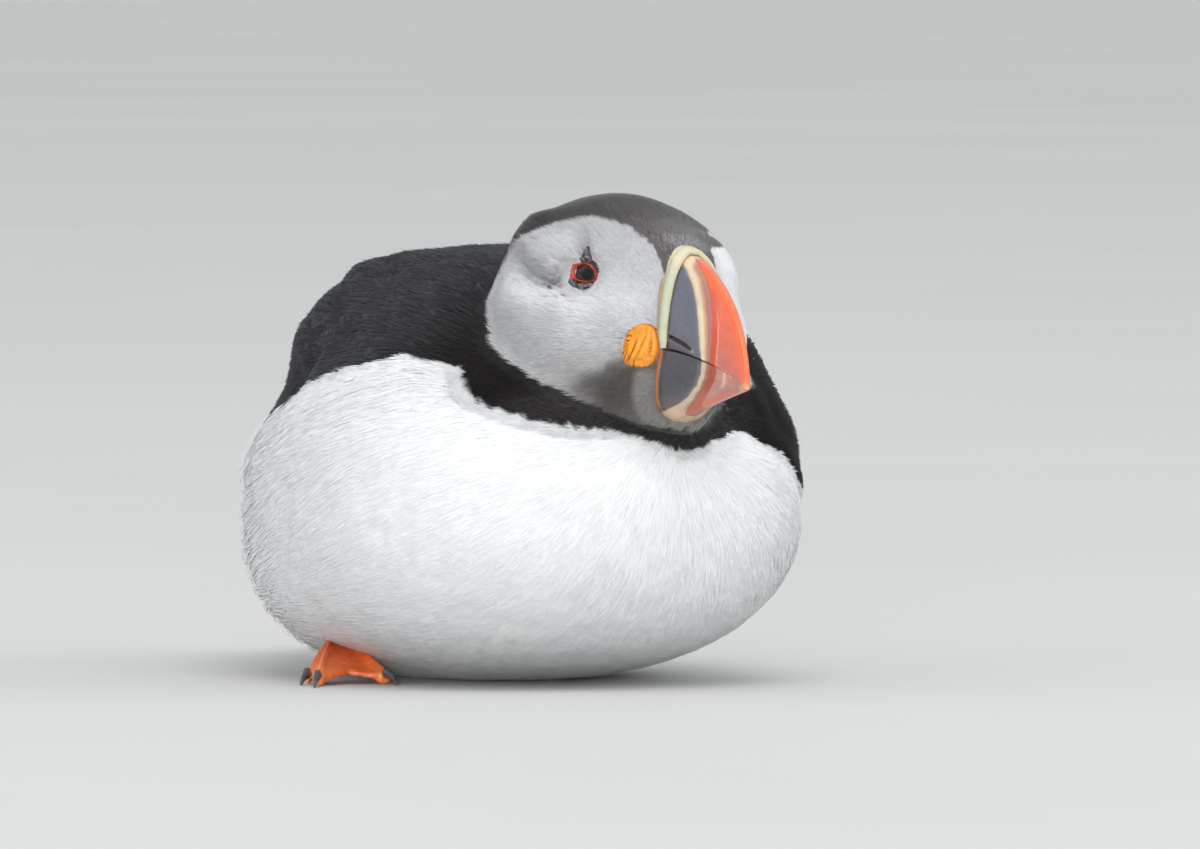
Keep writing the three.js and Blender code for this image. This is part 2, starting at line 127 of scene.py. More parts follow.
def make(name, verts, faces, material, colour=None, uvs=None, normals=None):
    """One object from arrays. faces is an array, or a list of arrays of quads and triangles."""
    faces = faces if isinstance(faces, list) else [faces]
    me = bpy.data.meshes.new(name)
    loops = np.concatenate([f.reshape(-1) for f in faces]).astype(np.int32)
    sizes = np.concatenate([np.full(len(f), f.shape[1]) for f in faces])
    me.vertices.add(len(verts))
    me.vertices.foreach_set("co", (np.asarray(verts) * MM).astype(np.float32).reshape(-1))
    me.loops.add(len(loops))
    me.loops.foreach_set("vertex_index", loops)
    me.polygons.add(len(sizes))
    me.polygons.foreach_set("loop_start", (np.cumsum(sizes) - sizes).astype(np.int32))
    me.polygons.foreach_set("use_smooth", np.full(len(sizes), True))
    me.update(calc_edges=True)
    if colour is not None:
        rgba = np.ones((len(verts), 4), np.float32)
        rgba[:, : colour.shape[1]] = colour
        me.color_attributes.new("coat", "FLOAT_COLOR", "POINT").data.foreach_set("color", rgba.reshape(-1))
    for layer, uv in (uvs or {}).items():
        me.uv_layers.new(name=layer).data.foreach_set("uv", uv[loops].astype(np.float32).reshape(-1))
    if normals is not None:
        me.attributes.new("custom_normal", "FLOAT_VECTOR", "POINT").data.foreach_set(
            "vector", unit(normals).astype(np.float32).reshape(-1))
    me.materials.append(material)
    obj = bpy.data.objects.new(name, me)
    bpy.context.scene.collection.objects.link(obj)
    return obj


def dress(obj, slot, *nodes):
    """Says what a piece rides on and which nodes it replaces; slot is not used."""
    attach(obj, "root")
    if nodes:
        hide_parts(*nodes)
    return obj


def remesh(verts, faces, voxel):
    """The voxel skin of a set of closed shapes."""
    obj = make("raw", verts, faces, None)
    modifier = obj.modifiers.new("voxel", "REMESH")
    modifier.mode, modifier.voxel_size = "VOXEL", voxel * MM
    out = bpy.data.meshes.new_from_object(obj.evaluated_get(bpy.context.evaluated_depsgraph_get()))
    co = np.empty(len(out.vertices) * 3)
    out.vertices.foreach_get("co", co)
    quads = np.empty(len(out.loops), np.int32)
    out.loops.foreach_get("vertex_index", quads)
    bpy.data.objects.remove(obj)
    bpy.data.meshes.remove(out)
    return co.reshape(-1, 3) * 1000, quads.reshape(-1, 4)


def vertex_normals(co, quads):
    a, b, c, d = (co[quads[:, k]] for k in (0, 1, 2, -1))
    n = np.cross(c - a, d - b) if quads.shape[1] == 4 else np.cross(b - a, c - a)
    total = np.zeros_like(co)
    for k in range(quads.shape[1]):
        for axis in range(3):
            total[:, axis] += np.bincount(quads[:, k], n[:, axis], len(co))
    return unit(total)


def gathered(names, swell):
    """Nodes as one set of triangles, each node swollen by the amount in mm that swell gives for its name."""
    parts, faces, start = [], [], 0
    for name in names:
        co, tri = node_arrays(name)
        parts.append(co + swell(name) * vertex_normals(co, tri))
        faces.append(tri + start)
        start += len(co)
    return np.concatenate(parts), np.concatenate(faces)


def middle_of(name):
    """The middle of a node's box."""
    return np.mean([np.array(corner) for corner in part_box(name)], axis=0) * 1000


def edges_of(quads):
    pairs = np.concatenate([quads[:, [k, (k + 1) % quads.shape[1]]] for k in range(quads.shape[1])])
    return np.unique(np.sort(pairs, 1), axis=0)


def relaxed(values, edges, rounds, strength=0.5):
    """Values at points, drawn towards the mean of their neighbours."""
    count = np.bincount(edges.reshape(-1), minlength=len(values))[:, None]
    for _ in range(rounds):
        total = np.stack([np.bincount(edges[:, 0], values[edges[:, 1], a], len(values))
                          + np.bincount(edges[:, 1], values[edges[:, 0], a], len(values))
                          for a in range(values.shape[1])], 1)
        values = mix(values, total / np.maximum(count, 1), strength)
    return values


def grid_faces(rows, cols, wrap=False):
    i, j = np.meshgrid(np.arange(rows - 1), np.arange(cols if wrap else cols - 1), indexing="ij")
    k = (j + 1) % cols
    return np.stack([i * cols + j, i * cols + k, (i + 1) * cols + k, (i + 1) * cols + j], -1).reshape(-1, 4)


def outward(verts, faces, centre):
    """Turns faces so that most of them look away from a centre."""
    a, b, c = (verts[faces[:, k]] for k in range(3))
    n = np.cross(b - a, c - a)
    return faces[:, ::-1] if dot(n, a - centre).sum() < 0 else faces


# ---- materials
def material(name, roughness=0.6, colour=None, attribute=None, sheen=0.0, coat=0.0, coat_rough=0.1,
             specular=0.5, variation=(), bump=(), subsurface=0.0):
    """A plain shader. variation holds (scale, amount) and bump (scale, strength, distance in mm)."""
    mat = bpy.data.materials.new(name)
    mat.use_nodes = True
    nodes, links = mat.node_tree.nodes, mat.node_tree.links
    shader = nodes["Principled BSDF"]
    for socket, value in (("Roughness", roughness), ("Sheen Weight", sheen), ("Sheen Roughness", 0.4),
                          ("Coat Weight", coat), ("Coat Roughness", coat_rough),
                          ("Specular IOR Level", specular)):
        shader.inputs[socket].default_value = value
    if subsurface:
        shader.inputs["Subsurface Weight"].default_value = subsurface
        shader.inputs["Subsurface Radius"].default_value = (1.0, 0.35, 0.2)
        shader.inputs["Subsurface Scale"].default_value = MM
    place = nodes.new("ShaderNodeTexCoord")

    def grain(scale, detail):
        tex = nodes.new("ShaderNodeTexNoise")
        tex.inputs["Scale"].default_value = scale
        tex.inputs["Detail"].default_value = detail
        links.new(place.outputs["Object"], tex.inputs["Vector"])
        return tex.outputs["Fac"]

    out = None
    if attribute:
        source = nodes.new("ShaderNodeVertexColor")
        source.layer_name = attribute
        out = source.outputs["Color"]
    for scale, amount in variation:
        ramp = nodes.new("ShaderNodeMapRange")
        ramp.inputs["From Min"].default_value, ramp.inputs["From Max"].default_value = 0.3, 0.7
        ramp.inputs["To Min"].default_value, ramp.inputs["To Max"].default_value = 1 - amount, 1 + amount
        links.new(grain(scale, 3), ramp.inputs["Value"])
        scaled = nodes.new("ShaderNodeVectorMath")
        scaled.operation = "SCALE"
        if out is None:
            scaled.inputs[0].default_value = tuple(colour)
        else:
            links.new(out, scaled.inputs[0])
        links.new(ramp.outputs["Result"], scaled.inputs["Scale"])
        out = scaled.outputs["Vector"]
    if out is None:
        shader.inputs["Base Color"].default_value = (*colour, 1)
    else:
        links.new(out, shader.inputs["Base Color"])
    last = None
    for scale, strength, distance in bump:
        node = nodes.new("ShaderNodeBump")
        node.inputs["Strength"].default_value = strength
        node.inputs["Distance"].default_value = distance * MM
        links.new(grain(scale, 4), node.inputs["Height"])
        if last:
            links.new(last, node.inputs["Normal"])
        last = node.outputs["Normal"]
    if last:
        links.new(last, shader.inputs["Normal"])
    return mat


M_SKIN = material("skin", 0.85, attribute="coat", variation=[(900, 0.06)], bump=[(1500, 0.3, 0.2)])
M_SOFT = material("soft_feather", 0.8, attribute="coat", sheen=0.2, specular=0.2, variation=[(350, 0.03)])
M_DARK = material("dark_feather", 0.75, attribute="coat", sheen=0.02, specular=0.1, variation=[(350, 0.08)])
M_VANE = material("vane_feather", 0.65, attribute="coat", sheen=0.03, specular=0.2, variation=[(600, 0.12)],
                  bump=[(2500, 0.35, 0.12)])
M_BILL = material("bill_horn", 0.32, attribute="coat", coat=0.35, coat_rough=0.18,
                  variation=[(500, 0.07), (90, 0.05)], bump=[(420, 0.2, 0.15), (2600, 0.12, 0.04)],
                  subsurface=0.08)
M_CERE = material("cere_skin", 0.42, attribute="coat", coat=0.15, coat_rough=0.3, variation=[(700, 0.06)],
                  bump=[(900, 0.3, 0.12)], subsurface=0.1)
M_ROSETTE = material("rosette_skin", 0.4, attribute="coat", coat=0.25, coat_rough=0.2, specular=0.4,
                     variation=[(900, 0.1)], bump=[(1500, 0.3, 0.12)], subsurface=0.15)
M_EYE = material("eyeball", 0.15, attribute="coat", coat=0.25, coat_rough=0.02, specular=0.2,
                 variation=[(1500, 0.1)])
M_RING = material("eye_ring_skin", 0.4, attribute="coat", coat=0.35, coat_rough=0.2, variation=[(1500, 0.15)],
                  bump=[(2500, 0.5, 0.12)])
M_PLATE = material("eye_plate_skin", 0.5, attribute="coat", variation=[(1800, 0.3), (5000, 0.2)],
                   bump=[(2500, 0.6, 0.15)])
M_FOOT = material("foot_skin", 0.42, attribute="coat", coat=0.2, coat_rough=0.25,
                  variation=[(500, 0.12), (2000, 0.06)], bump=[(1500, 0.5, 0.15)], subsurface=0.1)
M_CLAW = material("claw_horn", 0.3, attribute="coat", coat=0.3, coat_rough=0.2, variation=[(900, 0.15)],
                  bump=[(1500, 0.2, 0.08)])

EYE = np.array([11.9, 23.8, 13.6])


def look_basis():
    """Axes of the bird's left eye in the head's frame: forward, up and out."""
    outward, upward = math.radians(24), math.radians(3)
    look = np.array([math.cos(outward) * math.cos(upward), -math.sin(outward) * math.cos(upward),
                     math.sin(upward)])
    forward = unit(np.cross(look, [0, 0, 1]))
    return np.stack([forward, np.cross(look, forward) * -1, look], 1)


LOOK = look_basis()
# the eyeball's radius and the opening's half-width, which set how far out the lids lie
BALL, OPENING = 5.6, 3.2
EYE_FACE = math.sqrt(BALL ** 2 - OPENING ** 2) + 0.25


def eye_plane(q):
    """(forward, up, out) from the eye's middle, for points given on the +x side of the head's frame."""
    return (q - EYE) @ LOOK


def from_eye(e):
    return e @ LOOK.T + EYE


# ---- markings, with painted light and shade
# Lines on the head, in its own frame, and on the body as angles round the trunk's axis.
AXIS = lambda y: line(y, (-57, 47), (95, 31))


def cere_edge(z):
    """How far back (y) the bare skin of the bill's base reaches at a height."""
    return line(z, (-15, 3.6), (-11, 3.0), (-7, 2.0), (-3.4, 1.2), (0, 0.8), (5, 2.0), (10, 4.1), (15, 6.9),
                (18, 8.7), (20.6, 10.3), (24, 10.8))


def head_field(h):
    """Roughly the height in mm above the head's outer form, in the head's frame."""
    total = None
    for at, size, power in (((0, 38, 5.8), (27.5, 26.5, 26.8), 2), ((0, 24, -1), (20.5, 20, 17.5), 2.1),
                            ((0, 18, 9), (11.5, 15, 16), 2.2), ((0, 13.5, -8), (12, 15, 10.8), 2.1)):
        value = ((np.abs((h - at) / size) ** power).sum(1) ** (1 / power) - 1) * min(size)
        if total is None:
            total = value
        else:
            blend = np.maximum(8 - np.abs(total - value), 0) / 8
            total = np.minimum(total, value) - blend * blend * 2
    return total


def face_side(p, above=3.0):
    """Above 0 on the head's own feathers, below 0 on the collar's, in mm."""
    h = to_head(p)
    x, y, z = h.T
    low = line(y, (3, -17.3), (7, -16.9), (11, -15.1), (18.4, -12), (31, -7.6), (39, -3.7), (46, 3.2),
               (50, 7.5), (54, 13), (58, 22), (62, 60))
    above = above + 6 * step(14, 6, y) * step(9, 3, x)
    above = above - 3.4 * step(3, 7, x) * step(24, 14, y) * step(-2, -8, z)
    return np.minimum((z - low) * 0.85, above - head_field(h))


def crown_side(h):
    """Above 0 on the dark crown, in mm."""
    x, y, z = h.T
    low = line(y, (2, 13.5), (5.2, 15.1), (7.1, 18), (10.7, 21.3), (16, 23.5), (22.4, 25.6), (26.5, 26.0),
               (32, 24.3), (37.6, 19.2), (44, 12.5), (52, 6.4), (60, -1))
    far = step(3, 8, x) * (1.2 * ridge_at(y, 8.5, 4) - 1.0 * ridge_at(y, 19, 4))
    return z - low - far


def dark_side(p):
    """Above 0 on the dark collar, back and wings, in mm."""
    x, y, z = p.T
    plane = (p - [-3.4, -68.7, 56.9]) @ np.array([-0.005, -0.469, 0.883]) + 3.4 * ridge_at(x, 13.5, 7.5)
    plane = np.where(y < -35, plane, -50)
    angle = np.degrees(np.arctan2(z - AXIS(y), np.abs(x)))
    right = line(y, (-60, 95), (-52, 50), (-48, 37), (-38.6, 34.8), (-36, 31.4), (-29, 28), (-23, 26.2),
                 (-14, 24.2), (-4, 22.6), (14, 23.6), (22, 20.5), (32, 17), (44, 7), (60, -6), (77, -3),
                 (92, 4), (100, 30))
    left = line(y, (-72.6, 95), (-72.3, 22), (-70.4, 15.7), (-66.6, 9.6), (-62, 4), (-58, 0), (-53.8, -4.5),
                (-45, -7.5), (30, -3), (60, -4), (80, 0), (92, 4), (100, 30))
    corner = 0.9 * np.exp(-(((p - [-28.5, -57, 63]) / 8) ** 2).sum(1))
    point = step(-50, -56, y) * (1.7 * ridge_at(x, 19.5, 3.5) - 3.4 * ridge_at(x, 27, 4.2))
    return np.maximum(plane, (angle - np.where(x < 0, right, left)) * 0.8) + corner + point


WHITE, FACE = srgb(223, 224, 226), srgb(184, 184, 186)
CROWN, COLLAR, BACK = srgb(96, 91, 92), srgb(29, 26, 25), srgb(56, 56, 60)
CREASE = [(21.2, 24.7, 11.2), (22.9, 26.2, 11.1), (24.8, 28.5, 12.0), (25.6, 32.0, 13.4), (25.7, 36.5, 15.5)]
DIMPLE = [(17.2, 22.4, 19.5), (16.8, 23.9, 21.8), (16.5, 25.6, 23.6)]
JOWL = [(12.6, 6.2, -3.4), (15.6, 10.5, -7.6), (17.5, 15, -10.2)]
FOLDS = [
    ((-23.4, 10.1, 87.2), (-25.4, -3.6, 84.9), (-27.9, -12.7, 80.5), (-28.8, -23.1, 74.1),
     (-28.2, -31.3, 69.6)),
    ((-30.4, 16.8, 83.0), (-37.0, 1.1, 77.5), (-40.0, -10.2, 72.4), (-40.0, -20.3, 68.7)),
    ((-37.7, 17.5, 77.0), (-41.8, 4.8, 72.7), (-43.8, -6.9, 68.3))]
HEEL = middle_of("leg_right")


def near(q, path, width):
    """1 on a path and fading to 0 over a width."""
    best = np.full(len(q), FAR)
    path = [np.array(place, float) for place in path]
    for a, b in zip(path, path[1:]):
        t = np.clip((q - a) @ (b - a) / ((b - a) @ (b - a)), 0, 1)
        best = np.minimum(best, np.linalg.norm(q - a - t[:, None] * (b - a), axis=1))
    return np.exp(-((best / width) ** 2))


def furrow(p, path, depth, width, side):
    """The same for a path in the head's frame, on one side of the head, scaled by a depth."""
    return depth * near(to_head(p) * [side, 1, 1], path, width)


def coat_colour(p):
    """The bird's markings, with painted light and shade, at points of the coat's outer surface."""
    h = to_head(p)
    x, y, z = h.T
    ragged = 0.4 * noise(p, 1.3, 3)
    both = lambda path, width: np.maximum(furrow(p, path, 1, width, 1), furrow(p, path, 1, width, -1))
    face = FACE * (1 + 0.02 * noise(p, 5, 14))[:, None]
    low = z + 0.45 * y
    face = layered(
        face,
        # painted light: the top of the swelling below the eye, which faces the lamps, is painted whiter
        ((232, 232, 233), 0.9 * both([(17.5, 17, 7.2), (21, 23, 7.4), (24.5, 28, 7.4), (26, 35, 9.5)], 3.4)),
        ((214, 214, 215), 0.7 * both([(11, 9, 9), (16.5, 16, 9), (18, 17, 4)], 5)),
        ((206, 206, 207), 0.5 * both([(22, 31, 18), (20, 27, 20)], 3.0)),
        # painted light: the lower front of the face on the bird's left side is painted whiter than on its
        # right
        ((236, 237, 238), 0.9 * step(2, 10, x) * step(-8, 2, z) * step(36, 18, y)),
        # painted shade: the lower rear cheek, which faces down, is painted darker
        ((180, 180, 182), 0.6 * step(20, 34, y) * step(10, -6, z)),
        ((158, 156, 154), 0.8 * step(8, -4, low + 2 * noise(p, 6, 5)) * step(40, 22, y)),
        ((62, 58, 56), 0.9 * step(0.5, -3.5, low + 1.2 * noise(p, 4, 6)) * step(22, 9, y)),
        ((122, 119, 115), 0.5 * step(-10, -16, z) * step(14, 6, y)),
        # painted shade along the crease of the jowl
        ((92, 88, 85), 0.55 * both(JOWL, 1.5)),
        # darker along the crease behind the eye: partly the real dark line there, partly painted shade in the
        # crease
        ((62, 62, 65), both(CREASE, 0.75) * step(40, 27, y)),
        # painted shade under the brow's overhang above the crease
        ((140, 140, 142), 0.6 * both([(q[0], q[1], q[2] + 2.0) for q in CREASE], 2.2)),
        # painted shade in the dimple above the eye
        ((112, 112, 114), 0.7 * both(DIMPLE[:2], 1.1) + 0.2 * both(DIMPLE, 2.0)),
        ((196, 195, 193), 0.85 * step(-15.6, -18.6, z + 0.12 * y)),
        ((150, 147, 143), 0.6 * step(2.4, 0.8, y - cere_edge(z)) * step(-3, -6, z)))
    top = np.exp(-(((y - 10.5) / 2.8) ** 2 + ((z - 22.5) / 2.8) ** 2 + ((np.abs(x) - 1.5) / 3.4) ** 2))
    lores = step(6.5, 1.0, y - cere_edge(z)) * step(11, 15, z)
    crown = layered(
        CROWN,
        ((60, 56, 55), step(12, 34, y)),
        ((178, 177, 180), np.clip(top * 1.2, 0, 1) * 0.4),
        ((98, 95, 97), 0.2 * lores))
    head = mix(face, crown, step(-0.25, 0.25, crown_side(h) + ragged)[:, None])
    # the collar is darker than the back, partly the feathers' own tone and partly painted shade, and lighter
    # again at its low front as painted light
    dark = mix(COLLAR, BACK, step(-52, -28, p[:, 1] - 0.3 * (p[:, 2] - 60))[:, None])
    dark = layered(dark, ((56, 53, 53), 0.8 * step(-60, -70, p[:, 1])))
    # painted shade on the bird's left side behind the shoulder
    dark = dark * (1 - 0.4 * step(22, 38, p[:, 0]) * step(-5, -25, p[:, 1]))[:, None]
    flipped = np.where(p[:, :1] < 0, p, p * [-1, 1, 1])
    # painted shade along the folds of the mantle
    for fold in FOLDS:
        dark = dark * (1 - 0.3 * near(flipped, fold, 1.6))[:, None]
    dark = dark * (1 + 0.12 * noise(p, 9, 7))[:, None]
    heel = np.exp(-(((p - HEEL) / [11, 11, 7]) ** 2).sum(1))
    white = layered(
        WHITE,
        ((227, 228, 229), 0.5 + 0.5 * noise(p, 14, 8)),
        ((222, 184, 172), np.clip(heel, 0, 1) * 0.7))
    frayed = ragged + 0.8 * noise(p, 2.2, 15) * step(-50, -40, p[:, 1])
    body = mix(white, dark, step(-0.4, 0.4, dark_side(p) - 0.5 + frayed)[:, None])
    return mix(body, head, step(-0.2, 0.2, face_side(p) - 0.8 + ragged)[:, None])


# ---- the bill's form
def bezier(*pairs):
    a, b, c, d = (np.array(q, float) for q in pairs)
    return lambda t: (((1 - t) ** 3)[..., None] * a + (3 * t * (1 - t) ** 2)[..., None] * b
                      + (3 * t * t * (1 - t))[..., None] * c + (t ** 3)[..., None] * d)


# profiles as (forward, up) from the base to the tip
culmen = bezier((-8, 20.6), (4.6, 18.2), (22.4, 9.2), (26, -7))
gape = bezier((1.4, 0.1), (8.5, -0.9), (17.5, -2.4), (25.4, -6.2))
gonys = bezier((-3.4, -14.6), (5.5, -11.7), (15, -9.3), (25, -7.2))
# how far the bill's base reaches above and below the gape
BILL_ABOVE, BILL_BELOW = 21, 14.6
# how much the horn's colours are lifted
HORN_GAIN = 1.16
# how each mandible's section narrows from the gape to its ridge: powers, and the ridge at the base and tip
UPPER, LOWER = (2.6, 0.75, 1.25, 0.9, 0.5), (3.8, 0.6, 1.1, 1.1, 0.5)


def bill_width(t, v, form):
    """Half the bill's width at a station from base to tip and a height from the gape to the ridge."""
    power, bulge_base, bulge_tip, base, tip = form
    wide = mix(7.8, 0.8, t ** 0.9)
    ridge = mix(base, tip, t)
    return ridge + (wide - ridge) * (1 - v ** power) ** mix(bulge_base, bulge_tip, step(0, 0.35, t))


def bill_side(t, v, outer, form, set_back=0.0):
    """Half-width, forward and up on one side of a mandible."""
    low, high = gape(t), outer(t)
    forward = mix(low[..., 0], high[..., 0], v ** mix(1.5, 1, t)) - set_back * (1 - v) * (1 - t) ** 6
    return bill_width(t, v, form), forward, mix(low[..., 1], high[..., 1], v)


# ---- skin
FLESH = ["head", "neck", "back", "trunk", "wing_left", "wing_right"]
FILL = ["eye_left", "eye_right", "eye_ring_left", "eye_ring_right", "rosette_left", "rosette_right",
        "brow_plate_left", "brow_plate_right", "lower_plate_left", "lower_plate_right",
        "cere", "bill_upper", "bill_lower", "leg_left", "leg_right"]
SWELL = {"bill": -1.4, "cere": -0.6, "rosette": -0.9, "eye_ring": -0.6, "eye": -0.3, "brow": -0.5,
         "lower": -0.5}
VOXEL = 1.1
swell = lambda name: next((amount for stem, amount in SWELL.items() if name.startswith(stem)), 0.35)
skin, quads = remesh(*gathered(FLESH + FILL, swell), VOXEL)
edges = edges_of(quads)
skin = relaxed(skin, edges, 8)


def coat_depth(p):
    """How far in the skin is set, in mm, to leave room for the feathers."""
    h = to_head(p)
    on_head = step(-3, 1, face_side(p))
    near_bill = step(1, 12, h[:, 1] - cere_edge(h[:, 2]))
    body = mix(2.6, 1.6, step(-1, 3, dark_side(p)))
    body = mix(body, 1.4, step(-3, -1, face_side(p)) * 0.4)
    return mix(body, mix(0.55, 1.2, near_bill), on_head) + 0.35


normal = relaxed(vertex_normals(skin, quads), edges, 2)
skin = skin - unit(normal) * coat_depth(skin)[:, None]
skin = relaxed(skin, edges, 3)

normal = vertex_normals(skin, quads)
press = 0
# dents (above 0) and swellings (below 0) of the head: path, depth, width, and the share on the left and right
HEAD_RELIEF = (
    (CREASE, 2.3, 1.4, 0.4, 1.0),
    ([(21.5, 26, 15.5), (23, 29.5, 16.8), (22.5, 33, 19)], -1.5, 3.0, 0.4, 1.0),
    ([(21, 22, 7.3), (24, 29, 7.4), (26, 35, 9.6)], -0.7, 2.6, 0.4, 1.0),
    (DIMPLE, 1.5, 1.5, 0.4, 1.0),
    (JOWL, 1.3, 1.5, 1.0, 1.0),
    ([(22.5, 40, 20.0), (19.5, 41, 23.0)], -2.2, 4.0, 1.0, 1.0),
    ([(-7, 31, 30), (5, 19, 28)], 0.9, 8.0, 0.5, 0.5))
for side in (1, -1):
    for path, depth, width, on_left, on_right in HEAD_RELIEF:
        press = press + (on_left if side > 0 else on_right) * furrow(skin, path, depth, width, side)
# the left cheek, the back's hump over the flank, and the folds of the mantle
LEFT_BROW = [(11, 17, 22.5), (13.5, 16, 18.5)]
LEFT_CHEEK = [(24, 26, 14), (25, 27, 6), (24, 24, -4), (20, 17, -10), (14, 9, -14)]
press = press - furrow(skin, LEFT_BROW, 1.9, 4.5, 1)
press = press + furrow(skin, LEFT_CHEEK, 2.8, 7.5, 1)
mirror = skin + normal * coat_depth(skin)[:, None]
press = press - 1.8 * near(mirror, [(43, -30, 71), (44, -18, 72)], 10)
mirror[:, 0] = -np.abs(mirror[:, 0])
BODY_RELIEF = (([(-41, 18, 74), (-36, 14, 81), (-28, 12, 87)], -3.2, 11),
               ([(-46, 2, 66), (-47, 12, 63.5)], 4.6, 6),
               ([(-48, 19, 64), (-50, 34, 62.5)], 6.2, 7.5),
               *zip(FOLDS, (1.7, 1.2, 1.0), (3.0, 2.4, 2.2)))
for path, depth, width in BODY_RELIEF:
    press = press + depth * near(mirror, path, width)
skin = skin - normal * press[:, None]

# behind the lower mandible the chin stands back from the bill's edge
h = to_head(skin)
down = np.clip(-h[:, 2] / BILL_BELOW, 0, 1)
wall = np.where(h[:, 2] < -BILL_BELOW, 4.0, -1.4 + 4.8 * down ** 1.5 + 1.7 * (1 - down) + 0.8)
beyond = np.abs(h[:, 0]) - bill_width(0, down, LOWER)
wall = wall - 5.0 * step(0.8, 4.0, beyond) - 8 * step(-16.0, -18.0, h[:, 2])
stands = (h[:, 2] < -0.5) & (h[:, 1] < wall) & (np.abs(h[:, 0]) < 14)
h[:, 1] = np.where(stands, wall, h[:, 1])
close = np.exp(-((h[:, 1] - 3) / 4) ** 2) * (np.abs(h[:, 0]) < 13) * (h[:, 2] < 2) * (h[:, 2] > -20)
skin = from_head(h)
skin = mix(skin, relaxed(skin, edges, 2), close[:, None])

# what lies deep inside the bill isn't kept
h = to_head(skin)
inside = (h[:, 1] < cere_edge(h[:, 2]) - 4.5) & (np.abs(h[:, 0]) < 12) & (h[:, 2] > -17)
inside |= (h[:, 1] < -3) & (np.abs(h[:, 0]) < 12)
quads = quads[~inside[quads].any(1)]
used, index = np.unique(quads, return_inverse=True)
skin, quads = skin[used], index.reshape(-1, 4)
edges = edges_of(quads)
normal = unit(relaxed(vertex_normals(skin, quads), edges, 1))

# the lie of the coat: away from the bill and throat, then along the body to the tail
h = to_head(skin)
from_bill = unit(skin - from_head(np.array([[0, -6, 2.0]])))
from_throat = unit(skin - np.array([[10, -78, 58.0]]))
on_head = step(-8, 6, face_side(skin))[:, None]
flow = mix(from_throat, from_bill, on_head)
rear = step(-40, 60, skin[:, 1])[:, None]
flow = mix(flow, np.array([[0, 1, -0.25]]), rear * 0.85)
flow = unit(flow - normal * dot(flow, normal)[:, None])
for _ in range(12):
    flow = relaxed(flow, edges, 1, 0.8)
    flow = unit(flow - normal * dot(flow, normal)[:, None])

outer = skin + normal * coat_depth(skin)[:, None]
skin_obj = dress(make("skin", skin, quads, M_SKIN, coat_colour(outer)), "white_plumage", *FLESH)

# an unwrap of the skin's own shape
bpy.context.view_layer.objects.active = skin_obj
skin_obj.select_set(True)
bpy.ops.object.mode_set(mode="EDIT")
bpy.ops.mesh.select_all(action="SELECT")
bpy.ops.uv.smart_project(angle_limit=math.radians(66), island_margin=0.003)
bpy.ops.object.mode_set(mode="OBJECT")
layer = skin_obj.data.uv_layers[0]
layer.name = "OFBake"
skin_uv = np.empty(len(quads) * 8, np.float32)
layer.data.foreach_get("uv", skin_uv)
skin_uv = skin_uv.reshape(-1, 4, 2)


class Surface:
    """Finds the skin near any point through a table of cells."""

    def __init__(self, co, n, cell=1.3, reach=7):
        self.co, self.n, self.cell = co, n, cell
        self.lo = co.min(0) - 9
        dims = np.ceil((co.max(0) + 9 - self.lo) / cell).astype(int) + 1
        table = np.full(dims, -1, np.int32)
        i, j, k = ((co - self.lo) / cell).astype(int).T
        table[i, j, k] = np.arange(len(co))
        for _ in range(reach):
            for axis in range(3):
                for way in (1, -1):
                    moved = np.roll(table, way, axis)
                    table = np.where(table < 0, moved, table)
        self.table = table

    def find(self, q):
        i, j, k = np.clip(((q - self.lo) / self.cell).astype(int), 0, np.array(self.table.shape) - 1).T
        return self.table[i, j, k]

    def project(self, q):
        index = self.find(q)
        n = self.n[index]
        return q - n * dot(q - self.co[index], n)[:, None], n, index


surface = Surface(skin, normal)

# ---- feathers
triangles = np.concatenate([quads[:, [0, 1, 2]], quads[:, [0, 2, 3]]])
triangle_uv = np.concatenate([skin_uv[:, [0, 1, 2]], skin_uv[:, [0, 2, 3]]])
corner = skin[triangles]
area = np.linalg.norm(np.cross(corner[:, 1] - corner[:, 0], corner[:, 2] - corner[:, 0]), axis=1) / 2
centre = corner.mean(1)


def roots(count, weight):
    """Places on the skin, spread by area times a weight for each triangle."""
    total = np.cumsum(area * weight)
    place = (np.arange(count) + rng.random(count)) / count * total[-1]
    pick = np.searchsorted(total, place).clip(0, len(area) - 1)
    a, b = rng.random((2, count))
    flip = a + b > 1
    a, b = np.where(flip, 1 - a, a), np.where(flip, 1 - b, b)
    w = np.stack([1 - a - b, a, b], 1)
    tri = triangles[pick]
    blend = lambda values: (values[tri] * w[..., None]).sum(1)
    return blend(skin), unit(blend(normal)), unit(blend(flow)), (triangle_uv[pick] * w[..., None]).sum(1)


def trace(at, way, length, steps, follow=0.35):
    """Points and normals along the skin from each root."""
    points, normals, ways = [at], [surface.project(at)[1]], [way]
    for _ in range(steps):
        q, n, index = surface.project(points[-1] + ways[-1] * (length / steps)[:, None])
        d = mix(ways[-1], flow[index], follow)
        points.append(q)
        normals.append(n)
        ways.append(unit(d - n * dot(d, n)[:, None]))
    return points, normals, ways


